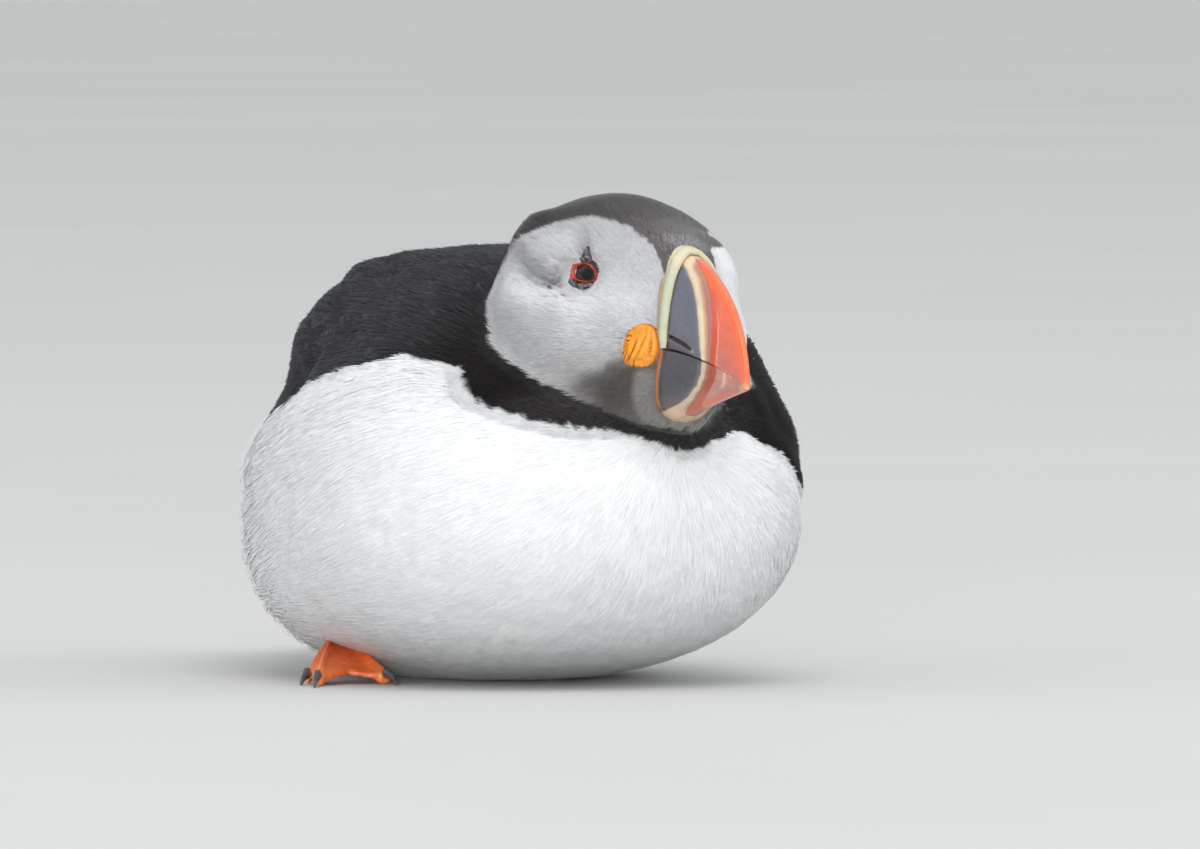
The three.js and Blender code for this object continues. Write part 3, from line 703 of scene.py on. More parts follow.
def blades(name, at, n, way, uv, length, width, lift, slot, mat=M_SOFT, tone=0.06, turn=0.12, soft=0.9,
           base=0.35, root=0.94, wild=0.15, follow=0.35):
    """Fine barbs of down and small feathers: tapering blades along the skin, coloured by what is halfway."""
    count = len(at)
    clump = noise(at, 7, 11) * 0.7 + noise(at, 2.2, 12) * 0.25
    angle = turn * (clump + 0.6 * rng.standard_normal(count))
    way = unit(way * np.cos(angle)[:, None] + np.cross(n, way) * np.sin(angle)[:, None])
    lift = lift * (1 + wild * (rng.standard_normal(count) * 0.6 + noise(at, 3.5, 13)))
    length = length * (0.75 + 0.5 * rng.random(count))
    points, normals, ways = trace(at, way, length, 2, follow)
    colour = coat_colour(points[1] + normals[1] * lift[:, None])
    uneven = np.where(colour.mean(1) > 0.65, np.minimum(tone, 0.04), tone)
    colour = colour * (1 + uneven * rng.standard_normal(count))[:, None]
    tilt = wild * rng.standard_normal(count)[:, None]
    verts, norms, cols, uvs = [], [], [], []
    for k, (rise, span) in enumerate(((base, 0.8), (0.5 + 0.5 * base, 1.0), (1.0, 0.0))):
        pn, pw = normals[k], ways[k]
        side = unit(np.cross(pn, pw) + pn * tilt)
        middle = points[k] + pn * (lift * rise)[:, None]
        bent = mix(unit(np.cross(pw, side)), unit(pn + 0.3 * tilt * np.cross(pn, pw)), soft)
        for s in ((-1, 1) if span else (0,)):
            verts.append(middle + side * (0.5 * s * width * span)[:, None])
            norms.append(bent + 0.15 * s * side)
            # painted shade: each blade is darker at its root and lighter at its tip
            cols.append(np.clip(colour * mix(root, 1.03, k / 2), 0, 1))
            uvs.append(uv + PATCH * np.array([s, k - 1]))
    stack = lambda parts: np.stack(parts, 1).reshape(count * 5, -1)
    first = (np.arange(count) * 5)[:, None]
    obj = make(name, stack(verts), [first + [1, 0, 2, 3], first + [3, 2, 4]], mat, stack(cols),
               {"OFBake": np.clip(stack(uvs), 0, 1)}, stack(norms))
    return dress(obj, slot)


def bare(p):
    """True where the head is bare skin, so that no feather grows."""
    h = to_head(p)
    x, y, z = h.T
    beside = np.where(z > 0, 0.9 + bill_width(0, np.clip(z / BILL_ABOVE, 0, 1), UPPER),
                      0.5 + bill_width(0, np.clip(-z / BILL_BELOW, 0, 1), LOWER))
    out = (y < cere_edge(z) - np.where(z > 0, 1.4, 0.6)) & (np.abs(x) < beside) & (z > -14.5)
    out |= (z < 0) & (z > -14) & (y < 6) & (np.abs(x) < beside - 1.0)
    for side in (1, -1):
        q = h * [side, 1, 1]
        out |= ((q[:, 1] - 4.6) / 3.9) ** 2 + ((q[:, 2] + 0.2) / 4.2) ** 2 + ((q[:, 0] - 10) / 5) ** 2 < 1
        ahead, high, off = eye_plane(q).T
        far = np.abs(off) < 8
        ring = ((ahead + 0.9) / 4.1) ** 2 + ((high - 0.3) / 2.6) ** 2 < 1
        brow = (high > 1) & (high < 5.8) & (np.abs(ahead + 0.45) < 1.3 * (6.2 - high) / 4.4)
        under = (high < -0.6) & (high > -3.7) & (np.abs(ahead + 1.7) < 4.4 + 0.5 * high)
        behind = (high > 0) & (ahead < 0) & (high < 0.5 + 0.97 * (ahead + 5))
        out |= far & (ring | brow | under | behind)
    return out


def scatter(count, weight, grow):
    """Roots where feathers grow: not on the head's bare parts, nor below a height of grow."""
    at, n, way, uv = roots(count, weight)
    keep = ~bare(at) & (at[:, 2] > grow)
    return at[keep], n[keep], way[keep], uv[keep]


DENSE, WIDE = ((1.0, 1.0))
# how many feathers each piece of the coat has before its bare places are left out
FEATHERS = {"coat_face_right": 66000, "coat_face_left": 60000, "coat_collar": 56000, "coat_breast": 66000,
            "coat_belly": 54000, "coat_flanks": 60000, "coat_back": 52000}
FEATHERS = {name: int(count * DENSE) for name, count in FEATHERS.items()}
outer_centre = centre + unit(normal[triangles].mean(1)) * coat_depth(centre)[:, None]
side_face, side_dark = face_side(outer_centre), dark_side(outer_centre)
on_face = side_face > -0.4
is_back = (side_dark > 0) & (centre[:, 1] > -45) & ~on_face
is_collar = (side_dark > -0.5) & ~on_face & ~is_back
is_white = ~on_face & ~is_back & ~is_collar


def head_coat(name, chosen):
    """The short hairlike feathers of the face and crown, shortest by the bill and the eyes."""
    hc = to_head(centre)
    by_bill = step(14, 2, hc[:, 1] - cere_edge(hc[:, 2]))
    at, n, way, uv = scatter(FEATHERS[name], chosen * (1 + by_bill), -5)
    h = to_head(at)
    close = step(0, 14, h[:, 1] - cere_edge(h[:, 2]))
    from_eyes = (np.linalg.norm(eye_plane(h * [s, 1, 1])[:, :2] / [1.2, 1], axis=1) + 9 * (h[:, 0] * s < 0)
                 for s in (1, -1))
    small = np.minimum(close, step(2.5, 11, np.minimum(*from_eyes)))
    length = mix(1.1, 3.9, small) * mix(1, 1.2, step(3, 0, face_side(at)))
    blades(name, at, n, way, uv, length, 0.17 * WIDE * (0.8 + 0.4 * rng.random(len(at))),
           mix(0.65, 1.3, small), "face_plumage", tone=np.where(crown_side(h) > 0, 0.4, 0.11), turn=0.1,
           soft=0.93, base=0.45, root=0.9, wild=0.06)


head_coat("coat_face_right", on_face & (to_head(centre)[:, 0] < 0))
head_coat("coat_face_left", on_face & (to_head(centre)[:, 0] >= 0))

at, n, way, uv = scatter(FEATHERS["coat_collar"], is_collar * (1 + 0.5 * (centre[:, 1] < -40)), -5)
within = step(-0.5, 4, dark_side(at))
blades("coat_collar", at, n, way, uv, mix(1.7, 3.4, within), 0.22 * WIDE * (0.8 + 0.4 * rng.random(len(at))),
       mix(1.95, 1.6, within), "dark_plumage", M_DARK, tone=0.36, turn=0.14, root=0.75)

for name, low, high in (("coat_breast", -200, -48), ("coat_belly", -48, 0), ("coat_flanks", 0, 300)):
    chosen = is_white & (centre[:, 1] >= low) & (centre[:, 1] < high)
    at, n, way, uv = scatter(FEATHERS[name], chosen.astype(float), 1.0)
    size = mix(3.4, 9.5, step(0, 18, -dark_side(at)))
    width = (0.17 + 0.2 * rng.random(len(at)) ** 2) * WIDE
    free = step(-20, 20, at[:, 1]) * (rng.random(len(at)) > 0.9)
    lift = mix(1.7, 2.5, step(0, 9, -dark_side(at)))
    blades(name, at, n, way, uv, size, width, lift + 1.3 * free * rng.random(len(at)), "white_plumage",
           tone=0.02, turn=0.07, soft=0.96, base=0.9, root=0.99,
           wild=0.045 if name == "coat_breast" else 0.06)

at, n, way, uv = scatter(FEATHERS["coat_back"], is_back.astype(float), -5)
blades("coat_back", at, n, way, uv, np.full(len(at), 4.4), np.full(len(at), 0.24 * WIDE),
       np.full(len(at), 1.75), "dark_plumage", M_DARK, tone=0.2, turn=0.1, base=0.6, wild=0.14)


# ---- feathers with vanes
def thinned(at, apart):
    """Picks points that keep a distance, in mm, from those picked before them."""
    chosen = []
    for i, p in enumerate(at):
        if not chosen or (((at[chosen] - p) ** 2).sum(1) > apart[i] ** 2).all():
            chosen.append(i)
    return np.array(chosen)


def along(values, f):
    """Values at fractions f of the way along each feather's stations."""
    x = np.clip(f, 0, 1) * (values.shape[1] - 1)
    i = np.minimum(x.astype(int), values.shape[1] - 2)
    t = x - i
    if values.ndim == 3:
        t = t[:, None]
    return values[:, i] * (1 - t) + values[:, i + 1] * t


def vanes(name, shaft, up, left, right, uv, colour, slot, gap, slant=0.3, camber=0.12, rim=1.25, blunt=0.35,
          replaced=()):
    """Feathers as rows of barbs on both sides of a shaft. shaft and up are (feather, station, 3), left and
    right the half-widths (feather, station) of the two vanes, and colour is one for each feather."""
    count = len(shaft)
    span = np.linalg.norm(np.diff(shaft, axis=1), axis=2).sum(1).max()
    f = np.linspace(0.0, 0.97, max(7, int(span / gap)))
    ends = 1 - (1 - f) * (1 - slant)
    forward = np.gradient(shaft, axis=1)
    side = unit(np.cross(up, forward))
    width = gap * 1.7 * (span / np.maximum(np.linalg.norm(np.diff(shaft, axis=1), axis=2).sum(1), 1e-6)) ** -1
    root_at, root_up = along(shaft, f), unit(along(up, f))
    verts, norms, cols, uvs = [], [], [], []
    for sign, half in ((1, left), (-1, right)):
        reach = along(half, ends) * (1 + 0.05 * rng.standard_normal((count, len(f))))
        tip = along(shaft, ends) + sign * along(side, ends) * reach[..., None]
        tip = tip - unit(along(up, ends)) * (camber * reach)[..., None]
        middle = mix(root_at, tip, 0.5) - along(forward, f) * 0.04
        middle = middle + root_up * (camber * 0.3 * reach)[..., None]
        wide = unit(along(forward, f)) * (0.5 * width[:, None])[..., None]
        layer = root_up * 0.05
        shade = 1 + 0.08 * rng.standard_normal((count, len(f), 1))
        for k, (p, thick, tone) in enumerate(((root_at, 1.0, 0.9), (middle, 1.0, 1.0), (tip, blunt, rim))):
            for s in (-1, 1):
                verts.append(p + s * wide * thick + s * layer)
                norms.append(root_up + sign * along(side, f) * (0.22 * k))
                near_tip = np.clip((f - 0.75) * 4, 0, 1)[None, :, None]
                cols.append(np.clip(colour[:, None] * shade * mix(tone, rim, near_tip * 0.6), 0, 1))
                uvs.append((uv + PATCH * np.array([s, k - 1]))[:, None] + np.zeros((1, len(f), 1)))
    stack = lambda parts: np.stack(parts, 2).reshape(-1, parts[0].shape[-1])
    first = (np.arange(count * len(f)) * 12)[:, None]
    barbs = [first + o + [0, 1, 3, 2] for o in (0, 2)] + [first + o + [1, 0, 2, 3] for o in (6, 8)]
    obj = make(name, stack(verts), [np.concatenate(barbs)], M_VANE, stack(cols),
               {"OFBake": np.clip(stack(uvs), 0, 1)}, stack(norms))
    return dress(obj, slot, *replaced)


def outline(stations, sharp=2.2, narrow=0.35):
    """The half-width of a feather along its length, from 0 to 1: narrow at the root, with a round end."""
    t = np.linspace(0, 1, stations)
    return mix(narrow, 1, step(0, 0.5, t)) * (1 - t ** (2 * sharp)) ** 0.5


# contour feathers of the mantle, rump and wings
on_mantle = is_back & (side_dark > 2.5) & (centre[:, 1] > -34) & (centre[:, 1] < 80)
at, n, way, uv = scatter(9000, on_mantle.astype(float), -5)
size = line(at[:, 1], (-40, 5), (-10, 7), (30, 9.5), (90, 9)) * (0.85 + 0.3 * rng.random(len(at)))
order = rng.permutation(len(at))
pick = order[thinned(at[order], 0.34 * size[order])]
at, n, way, uv, size = at[pick], n[pick], way[pick], uv[pick], size[pick]
points, normals, ways = trace(at, way, size, 5, 0.5)
t = np.linspace(0, 1, 6)
rise = 0.7 + 0.75 * t
shaft = np.stack(points, 1) + np.stack(normals, 1) * rise[None, :, None]
up = unit(np.stack(normals, 1) - 0.12 * np.stack(ways, 1))
half = 0.42 * size[:, None] * outline(6)
tone = BACK * (1 + 0.08 * rng.standard_normal(len(at)))[:, None]
vanes("feathers_mantle", shaft, up, half, half, uv, tone, "dark_plumage", gap=0.86, camber=0.05, rim=1.1,
      blunt=0.12)


BODY_ANGLE = np.degrees(np.arctan2(skin[:, 2] - AXIS(skin[:, 1]), np.abs(skin[:, 0])))
skin_uv_at = np.zeros((len(skin), 2))
skin_uv_at[quads.reshape(-1)] = skin_uv.reshape(-1, 2)


def along_skin(side, ys, angles):
    """Indices of the skin's points nearest to places on one side of the body."""
    found = []
    for y, angle in zip(ys, angles):
        gap = (skin[:, 1] - y) ** 2 + (BODY_ANGLE - angle) ** 2 * 0.5
        found.append(np.where(skin[:, 0] * side > 0, gap, FAR).argmin())
    return np.array(found)


# long feathers of the folded wings: secondaries above, primaries below and behind
shafts, ups, lefts, rights, places = [], [], [], [], []
stations = 9
for side in (-1, 1):
    for row in range(16):
        inner = row < 8
        k = row % 8 / 7
        if inner:  # secondaries, from the scapulars down to the wing's edge
            ys, angles = (mix(8, 34, k), mix(52, 60, k)), (mix(26, 34, k), mix(4, 16, k))
        else:      # primaries
            ys, angles = (mix(34, 44, k), mix(90, 70, k)), (mix(14, 2, k), mix(18, -1, k))
        s = np.linspace(0, 1, stations)
        index = along_skin(side, mix(ys[0], ys[1], s), mix(angles[0], angles[1], s))
        p = skin[index]
        if not inner:
            onward = (p[-4] - p[-7]) / 3
            p[-3:] = p[-4] + onward * [[0.9], [1.8], [2.6]] - unit(normal[index[-4]]) * [[0.3], [1.2], [2.4]]
        for _ in range(4):
            p[1:-1] = (p[:-2] + 2 * p[1:-1] + p[2:]) / 4
        nn = unit(normal[index])
        nn[-3:] = nn[-4]
        for _ in range(6):
            nn[1:-1] = (nn[:-2] + 2 * nn[1:-1] + nn[2:]) / 4
        height = 1.0 + 0.9 * s + (0.8 - 0.7 * k if inner else 0.1 + 0.5 * (1 - k))
        shafts.append(p + unit(nn) * height[:, None])
        ups.append(unit(nn))
        wide = 4.2 if inner else 4.6
        lead, trail = wide * 0.7 * outline(stations, 2.6, 0.6), wide * outline(stations, 2.6, 0.6)
        lefts.append(lead if side < 0 else trail)
        rights.append(trail if side < 0 else lead)
        places.append(skin_uv_at[index[0]])
count = len(shafts)
tone = srgb(46, 45, 48) * (1 + 0.06 * rng.standard_normal(count))[:, None]
vanes("feathers_wings", np.array(shafts), np.array(ups), np.array(lefts), np.array(rights), np.array(places),
      tone, "flight_feathers", gap=0.45, slant=0.2, rim=1.2, blunt=0.8)

# the tail: a short arched fan of fourteen feathers, the middle ones on top
tail_low, tail_high = (np.array(corner) * 1000 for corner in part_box("tail"))
across = np.linspace(-1, 1, 14)[:, None]
s = np.linspace(0, 1, 8)[None]
half_fan = mix(8.0, tail_high[0] - 2.6, s ** 0.8)
x = across * half_fan
y = mix(tail_low[1] + 6, tail_high[1] - 0.4 - 7 * across ** 2, s)
z = tail_high[2] - 1.2 - 4 * across ** 2 - 3 * s - 0.9 * np.abs(across)
shaft = np.stack([x, y, z], -1)
up = unit(np.stack([0.5 * across + 0 * s, 0.1 + 0 * x, 1 + 0 * x], -1))
half = 3.4 * outline(8, 3.0, 0.7)[None] * np.ones((14, 1))
place = skin_uv_at[along_skin(1, [88], [20])][[0] * 14]
tone = srgb(44, 43, 46) * (1 + 0.06 * rng.standard_normal(14))[:, None]
vanes("feathers_tail", shaft, up, half, half, place, tone, "flight_feathers", gap=0.4, slant=0.2, rim=1.2,
      blunt=0.9, replaced=("tail",))

# ---- bill
def upper_look(t, v):
    """(outward relief in mm, colour) at a station from base to tip and a height from gape to ridge."""
    slate_end = line(v, (0, 0.455), (0.26, 0.406), (0.445, 0.363), (0.64, 0.283), (0.77, 0.201),
                     (0.876, 0.098), (0.93, 0.02), (1, -0.1))
    cream_end = line(v, (0, 0.524), (0.284, 0.499), (0.528, 0.444), (0.712, 0.356), (0.866, 0.256),
                     (0.933, 0.165), (0.97, 0.12), (1, 0.1))
    mauve_end = line(v, (0, 0.566), (0.338, 0.544), (0.592, 0.489), (0.779, 0.409), (0.916, 0.29), (1, 0.13))
    groove = line(v, (0, 0.652), (0.445, 0.612), (0.645, 0.559), (0.783, 0.486), (0.88, 0.416),
                  (0.933, 0.316), (1, 0.2))
    second = line(v, (0.7, 1.02), (0.8, 0.92), (0.9, 0.76), (1, 0.6))
    s = t - slate_end
    band = (t - slate_end) / np.maximum(cream_end - slate_end, 0.02)
    spot = speckle(t * 26, v * 20, 1.0, 31)
    streak = speckle(t * 60, v * 6, 1.0, 32)
    col = srgb(84, 87, 98) * (1 + 0.07 * spot + 0.04 * streak)[..., None]
    panel = step(-0.018, 0.0, t - groove) * step(0.985, 0.86, v)
    slit = line(t, (0, 0.130), (0.17, 0.105), (0.29, 0.082), (0.37, 0.05))
    thick = line(t, (0, 0.006), (0.1, 0.016), (0.26, 0.02), (0.33, 0.006))
    in_slit = step(0.012, 0.03, t) * step(0.335, 0.315, t)
    cut = ridge_at(v, slit, thick + 0.007) * in_slit
    lip = ridge_at(v, slit + 0.036, 0.012) * in_slit + ridge_at(v, slit - 0.03, 0.012) * in_slit
    tip_of_slit = np.exp(-((t - 0.345) / 0.022) ** 2 - ((v - 0.062) / 0.022) ** 2)
    edge = step(0.02, 0.0, v)
    col = layered(
        col,
        ((98, 92, 106), step(0.06, 0.0, -s) * 0.7),
        ((58, 50, 54), step(0.24, 0.04, v) * step(0.45, 0.25, t) * 0.6),
        ((180, 162, 138), step(-0.1, 0.15, band)),
        ((214, 194, 158), ridge_at(band, 0.45, 0.28) * 0.7),
        ((170, 118, 86), step(0.7, 1.05, band)),
        ((156, 100, 96), step(0.0, 0.018, t - cream_end) * mix(1, 0.2, step(0.75, 0.95, v))),
        ((176, 66, 36), step(-0.008, 0.008, t - mauve_end)),
        ((200, 84, 54), step(0.3, 0.9, v) * step(0.0, 0.02, t - mauve_end) * 0.6),
        ((190, 92, 72), panel),
        ((178, 96, 84), panel * step(0.6, 0.1, v)),
        ((204, 92, 60), panel * step(0.55, 0.85, v) * 0.8),
        ((206, 136, 124), ridge_at(t, groove - 0.006, 0.009) * step(0.93, 0.6, v) * 0.85),
        ((222, 88, 42), step(0.84, 0.95, v) * step(0.0, 0.05, t - mauve_end)),
        ((236, 110, 58), step(0.93, 1.0, v) * step(0.25, 0.45, t) * 0.7),
        ((216, 84, 48), ridge_at(t, second, 0.01) * 0.6),
        ((176, 104, 84), panel * np.clip(spot - 0.35, 0, 1) * 0.35),
        ((206, 180, 152), step(0.86, 0.95, v) * step(0.0, -0.03, t - mauve_end) * step(0.17, 0.1, t)),
        ((190, 152, 116), step(0.955, 1.0, t) * 0.8),
        ((122, 104, 110), lip * 0.6),
        # the nostril's slit is painted near black as painted shade in its groove, with a painted highlight at
        # its front end
        ((34, 8, 10), np.clip(1.3 * cut, 0, 1)),
        ((22, 14, 16), ridge_at(v, slit + 0.006, 0.007) * in_slit),
        ((150, 146, 152), tip_of_slit * 0.6),
        ((52, 32, 32), edge * step(0.62, 0.5, t) * 0.8),
        ((206, 180, 168), edge * step(0.6, 0.68, t) * step(-0.2, 0.2, streak) * 0.8),
        ((214, 186, 174), ridge_at(v, 0.03 + 0.02 * spot, 0.012) * step(0.66, 0.72, t)
         * step(0.0, 0.3, streak) * 0.7))
    relief = 0.25 * ridge_at(band, 0.5, 0.5) - 0.15 * ridge_at(t, cream_end + 0.012,
                                                               0.01) + 0.12 * ridge_at(t, mauve_end + 0.035,
                                                                                       0.03)
    relief = relief * step(1.0, 0.9, v) - 0.2 * ridge_at(t, groove - 0.006, 0.01) * step(0.97, 0.8, v)
    raised = 0.10 * ridge_at(t, groove + 0.03, 0.02)
    relief += raised - 0.14 * ridge_at(t, second, 0.012) * step(0.0, 0.05, 1 - v)
    relief += 0.12 * step(0.0, -0.02, s) * step(0.0, 0.05, t) - 0.75 * cut + 0.18 * lip + 0.2 * tip_of_slit
    relief += (0.04 * spot + 0.03 * streak) * step(0.0, 0.1, t)
    return relief, col


def lower_look(t, v):
    """The same for the lower mandible."""
    slate_end = line(v, (0, 0.465), (0.31, 0.486), (0.57, 0.456), (0.766, 0.336), (0.849, 0.203),
                     (0.883, 0.085), (0.9, 0.0), (1, -0.3))
    cream_end = line(v, (0, 0.532), (0.385, 0.541), (0.652, 0.499), (0.846, 0.371), (0.916, 0.271), (1, 0.16))
    groove = line(v, (0, 0.665), (0.441, 0.664), (0.716, 0.602), (0.866, 0.521), (0.977, 0.439))
    s = t - slate_end
    band = (t - slate_end) / np.maximum(cream_end - slate_end, 0.02)
    spot = speckle(t * 24, v * 16, 1.0, 33)
    streak = speckle(t * 50, v * 5, 1.0, 34)
    col = srgb(62, 62, 68) * (1 + 0.08 * spot + 0.04 * streak)[..., None]
    panel = step(-0.012, 0.004, t - groove)
    col = layered(
        col,
        ((82, 72, 76), step(0.55, 0.85, v) * 0.9),
        ((104, 92, 100), step(0.07, 0.0, -s) * 0.8),
        ((60, 44, 44), step(0.2, 0.0, v) * step(0.1, 0.4, t) * 0.5),
        ((186, 164, 140), step(-0.1, 0.2, band)),
        ((190, 164, 132), step(0.88, 0.97, v) * step(0.0, 0.2, band)),
        ((160, 110, 90), step(0.75, 1.05, band) * step(1.02, 0.9, v)),
        ((146, 84, 66), step(0.0, 0.015, t - cream_end)),
        ((144, 66, 38), step(0.03, 0.05, t - cream_end)),
        ((172, 74, 40), step(0.6, 0.9, v) * step(0.03, 0.05, t - cream_end)),
        ((170, 118, 108), panel),
        ((158, 98, 88), panel * step(0.1, 0.25, t - groove) * 0.7),
        ((222, 176, 160), panel * ridge_at(t - groove, 0.09 + 0.05 * v, 0.02) * step(0.8, 0.4, v) * 0.6),
        ((196, 132, 116), ridge_at(t, groove - 0.004, 0.008) * 0.8),
        ((190, 98, 68), step(0.82, 0.96, v) * step(0.0, 0.02, t - groove)),
        ((190, 152, 116), step(0.93, 1.0, t) * 0.7),
        ((172, 98, 44), step(0.03, 0.012, t) * step(0.95, 0.8, v)),
        ((58, 34, 34), step(0.03, 0.0, v) * step(0.62, 0.5, t) * 0.8),
        ((216, 190, 178), step(0.035, 0.0, v) * step(0.6, 0.68, t) * step(-0.1, 0.3, streak) * 0.7))
    relief = 0.2 * ridge_at(band, 0.5, 0.6) - 0.12 * ridge_at(t, cream_end + 0.008,
                                                              0.01) + 0.1 * ridge_at(t, cream_end + 0.06,
                                                                                     0.03)
    bands = -0.2 * ridge_at(t, groove - 0.006, 0.01) - 0.15 * ridge_at(t, 0.035, 0.012)
    relief += bands + 0.12 * ridge_at(t, 0.012, 0.012)
    relief += 0.1 * step(0.0, -0.03, s) + 0.04 * spot + 0.03 * streak
    return relief * step(1.0, 0.85, v), col


def mandible(name, outer, form, root, set_back, look, stations, steps):
    """One half of the bill as a closed horn; root is how far it runs back past its base, in mm."""
    t = np.linspace(0, 1, stations)[:, None] * np.ones((1, steps))
    v = np.ones((stations, 1)) * np.sin(math.pi / 2 * np.linspace(0, 1, steps))[None]
    half, forward, up = bill_side(t, v, outer, form, set_back)
    away = np.sign(outer(np.zeros(1))[0, 1])
    up = up + away * (1 - v) * 0.05
    half = half * (1 - 0.05 * (v < 0.001))
    relief, colour = look(t, v)
    colour = np.clip(colour * HORN_GAIN, 0, 1)
    half = half + relief * step(1.0, 0.97, v)
    if root:
        back = np.array([1.0, 0.5])[:, None] * root
        forward = np.concatenate([forward[:1] - back, forward])
        up, half, colour = (np.concatenate([a[:1], a[:1], a]) for a in (up, half, colour))
        half[:2] *= 0.97
    right = np.stack([-half, -forward, up], -1)
    left = right * [-1, 1, 1]
    sheet = np.concatenate([right, left[:, ::-1]], 1)
    rows, cols = sheet.shape[:2]
    verts = sheet.reshape(-1, 3)
    faces = grid_faces(rows, cols)
    floor = np.arange(rows - 1)[:, None] * cols + [0, cols - 1, 2 * cols - 1, cols]
    cap_tip = (rows - 1) * cols
    tip = [np.array([[cap_tip + j, cap_tip + j + 1, cap_tip + cols - 2 - j, cap_tip + cols - 1 - j]])
           for j in range(cols // 2 - 1)]
    faces = np.concatenate([faces, floor, *tip])
    colours = np.concatenate([colour, colour[:, ::-1]], 1).reshape(-1, 3)
    obj = make(name, from_head(verts), faces, M_BILL, colours)
    bm = bmesh.new()
    bm.from_mesh(obj.data)
    bmesh.ops.recalc_face_normals(bm, faces=bm.faces)
    bm.to_mesh(obj.data)
    bm.free()
    return obj


upper = mandible("bill_upper_horn", culmen, UPPER, 0, 0.0, upper_look, 220, 110)
dress(upper, "bill_red", "bill_upper")
lower = mandible("bill_lower_horn", gonys, LOWER, 3.6, 1.7, lower_look, 180, 90)
dress(lower, "bill_slate", "bill_lower")


def cere():
    """The cream ridge over the base of the upper mandible: a smooth front band and a pitted rear one."""
    around, across = 461, 31
    a = np.linspace(-1, 1, around)[:, None] * np.ones((1, across))
    k = np.ones((around, 1)) * np.linspace(0, 1, across)[None]
    v = np.sin(math.pi / 2 * (1 - np.abs(a)))
    ahead = line(v, (0, 0.008), (0.16, 0.013), (0.35, 0.028), (0.55, 0.043), (0.72, 0.046), (1, 0.055))
    half, forward, up = bill_side(ahead * (1 - k), v, culmen, UPPER)
    half = half * np.sign(a + 1e-9)
    along_x, along_z = np.gradient(half, axis=0), np.gradient(up, axis=0)
    out = unit(np.stack([along_z, -along_x], -1))
    out = out * np.sign(dot(out, np.stack([half, up - 8], -1)))[..., None]
    for _ in range(200):
        out[1:-1] = (out[:-2] + 2 * out[1:-1] + out[2:]) / 4
    out = unit(out)
    split = 0.5
    behind = np.clip((k - split) / (1 - split), 0, 1)
    swell = 0.5 * np.sin(math.pi * np.clip(k / split, 0, 1)) ** 0.6 + 0.72 * behind ** 0.8
    swell = swell + 0.9 * ridge_at(v, 0.92, 0.1) * k ** 0.7
    swell = swell * step(-0.06, 0.1, v) - 0.12 + 0.1 * k
    dots = ridge_at((np.abs(a) * 44) % 1, 0.5, 0.24) * ridge_at(k, 0.88, 0.08)
    rough = speckle(a * 60, k * 6, 1.5, 4)
    swell = swell - 0.22 * dots + 0.05 * rough * step(0.5, 0.65, k)
    deep = mix(2.3, 2.5, v) * step(-0.12, 0.16, v)
    sheet = np.stack([half + out[..., 0] * swell, -forward + deep * (k - 0.12 * behind),
                      up + out[..., 1] * swell], -1)
    col = srgb(184, 190, 164) * (1 + 0.03 * rough)[..., None]
    rear = step(split - 0.05, split + 0.05, k)
    col = layered(
        col,
        ((160, 142, 116), rear),
        ((200, 188, 158), rear * step(0.6, 1.0, v)),
        ((206, 196, 168), (1 - rear) * step(0.6, 0.95, v)),
        ((160, 140, 112), ridge_at(k, split, 0.035) * 0.7),
        ((176, 150, 112), step(0.1, 0.0, k) * 0.6),
        ((74, 44, 34), dots),
        ((150, 120, 92), step(0.92, 1, k) * 0.6))
    obj = make("cere_skin", from_head(sheet.reshape(-1, 3)), grid_faces(around, across), M_CERE,
               col.reshape(-1, 3))
    solid = obj.modifiers.new("thick", "SOLIDIFY")
    solid.thickness, solid.offset = 0.8 * MM, -1
    dress(obj, "cere", "cere")


cere()


# ---- face fittings
def mirrored(name, verts, faces, centre, mat, colour, node, slot):
    """Makes a fitting given on the head's +x side on both sides of the head, facing off a centre."""
    faces = outward(verts, faces, centre)
    for word, side in (("left", 1), ("right", -1)):
        f = faces if side > 0 else faces[:, ::-1]
        dress(make(f"{name}_{word}", from_head(verts * [side, 1, 1]), f, mat, colour), slot, f"{node}_{word}")


def ball():
    """The eyeball and its colours."""
    rows, cols = 72, 96
    polar = np.linspace(0, math.pi, rows)[:, None] * np.ones((1, cols))
    around = np.ones((rows, 1)) * np.linspace(0, 2 * math.pi, cols, endpoint=False)[None]
    e = BALL * np.stack([np.sin(polar) * np.cos(around), np.sin(polar) * np.sin(around), np.cos(polar)], -1)
    from_pupil = np.linalg.norm(e[..., :2] - [0.95, -0.1], axis=-1)
    col = np.tile(srgb(42, 35, 37), (rows, cols, 1))
    col = layered(
        col,
        ((58, 49, 50), ridge_at(from_pupil, 2.2, 0.4) * 0.8),
        ((2, 2, 3), step(1.3, 1.15, from_pupil)),
        ((24, 20, 22), step(3.3, 3.6, from_pupil)),
        ((176, 184, 194), ridge_at(from_pupil, 4.1, 0.3) * step(-1.6, -2.6, e[..., 0]) * 0.9))
    e[..., 2] += 0.35 * np.exp(-((np.linalg.norm(e[..., :2], axis=-1) / 2.2) ** 2)) * (e[..., 2] > 0)
    return e.reshape(-1, 3), grid_faces(rows, cols, True), col.reshape(-1, 3)


e, f, col = ball()
mirrored("eyeball", from_eye(e), f, EYE, M_EYE, col, "eye", "eye")

# the opening between the lids, as (forward, up) from the eye's middle
LIDS = [(-3.2, 0.2), (-2.6, -0.8), (-0.9, -1.4), (1.1, -1.5), (2.5, -1.15), (2.85, -0.2), (2.3, 0.9),
        (1.0, 1.75), (-0.6, 1.95), (-2.1, 1.45), (-3.0, 0.8)]


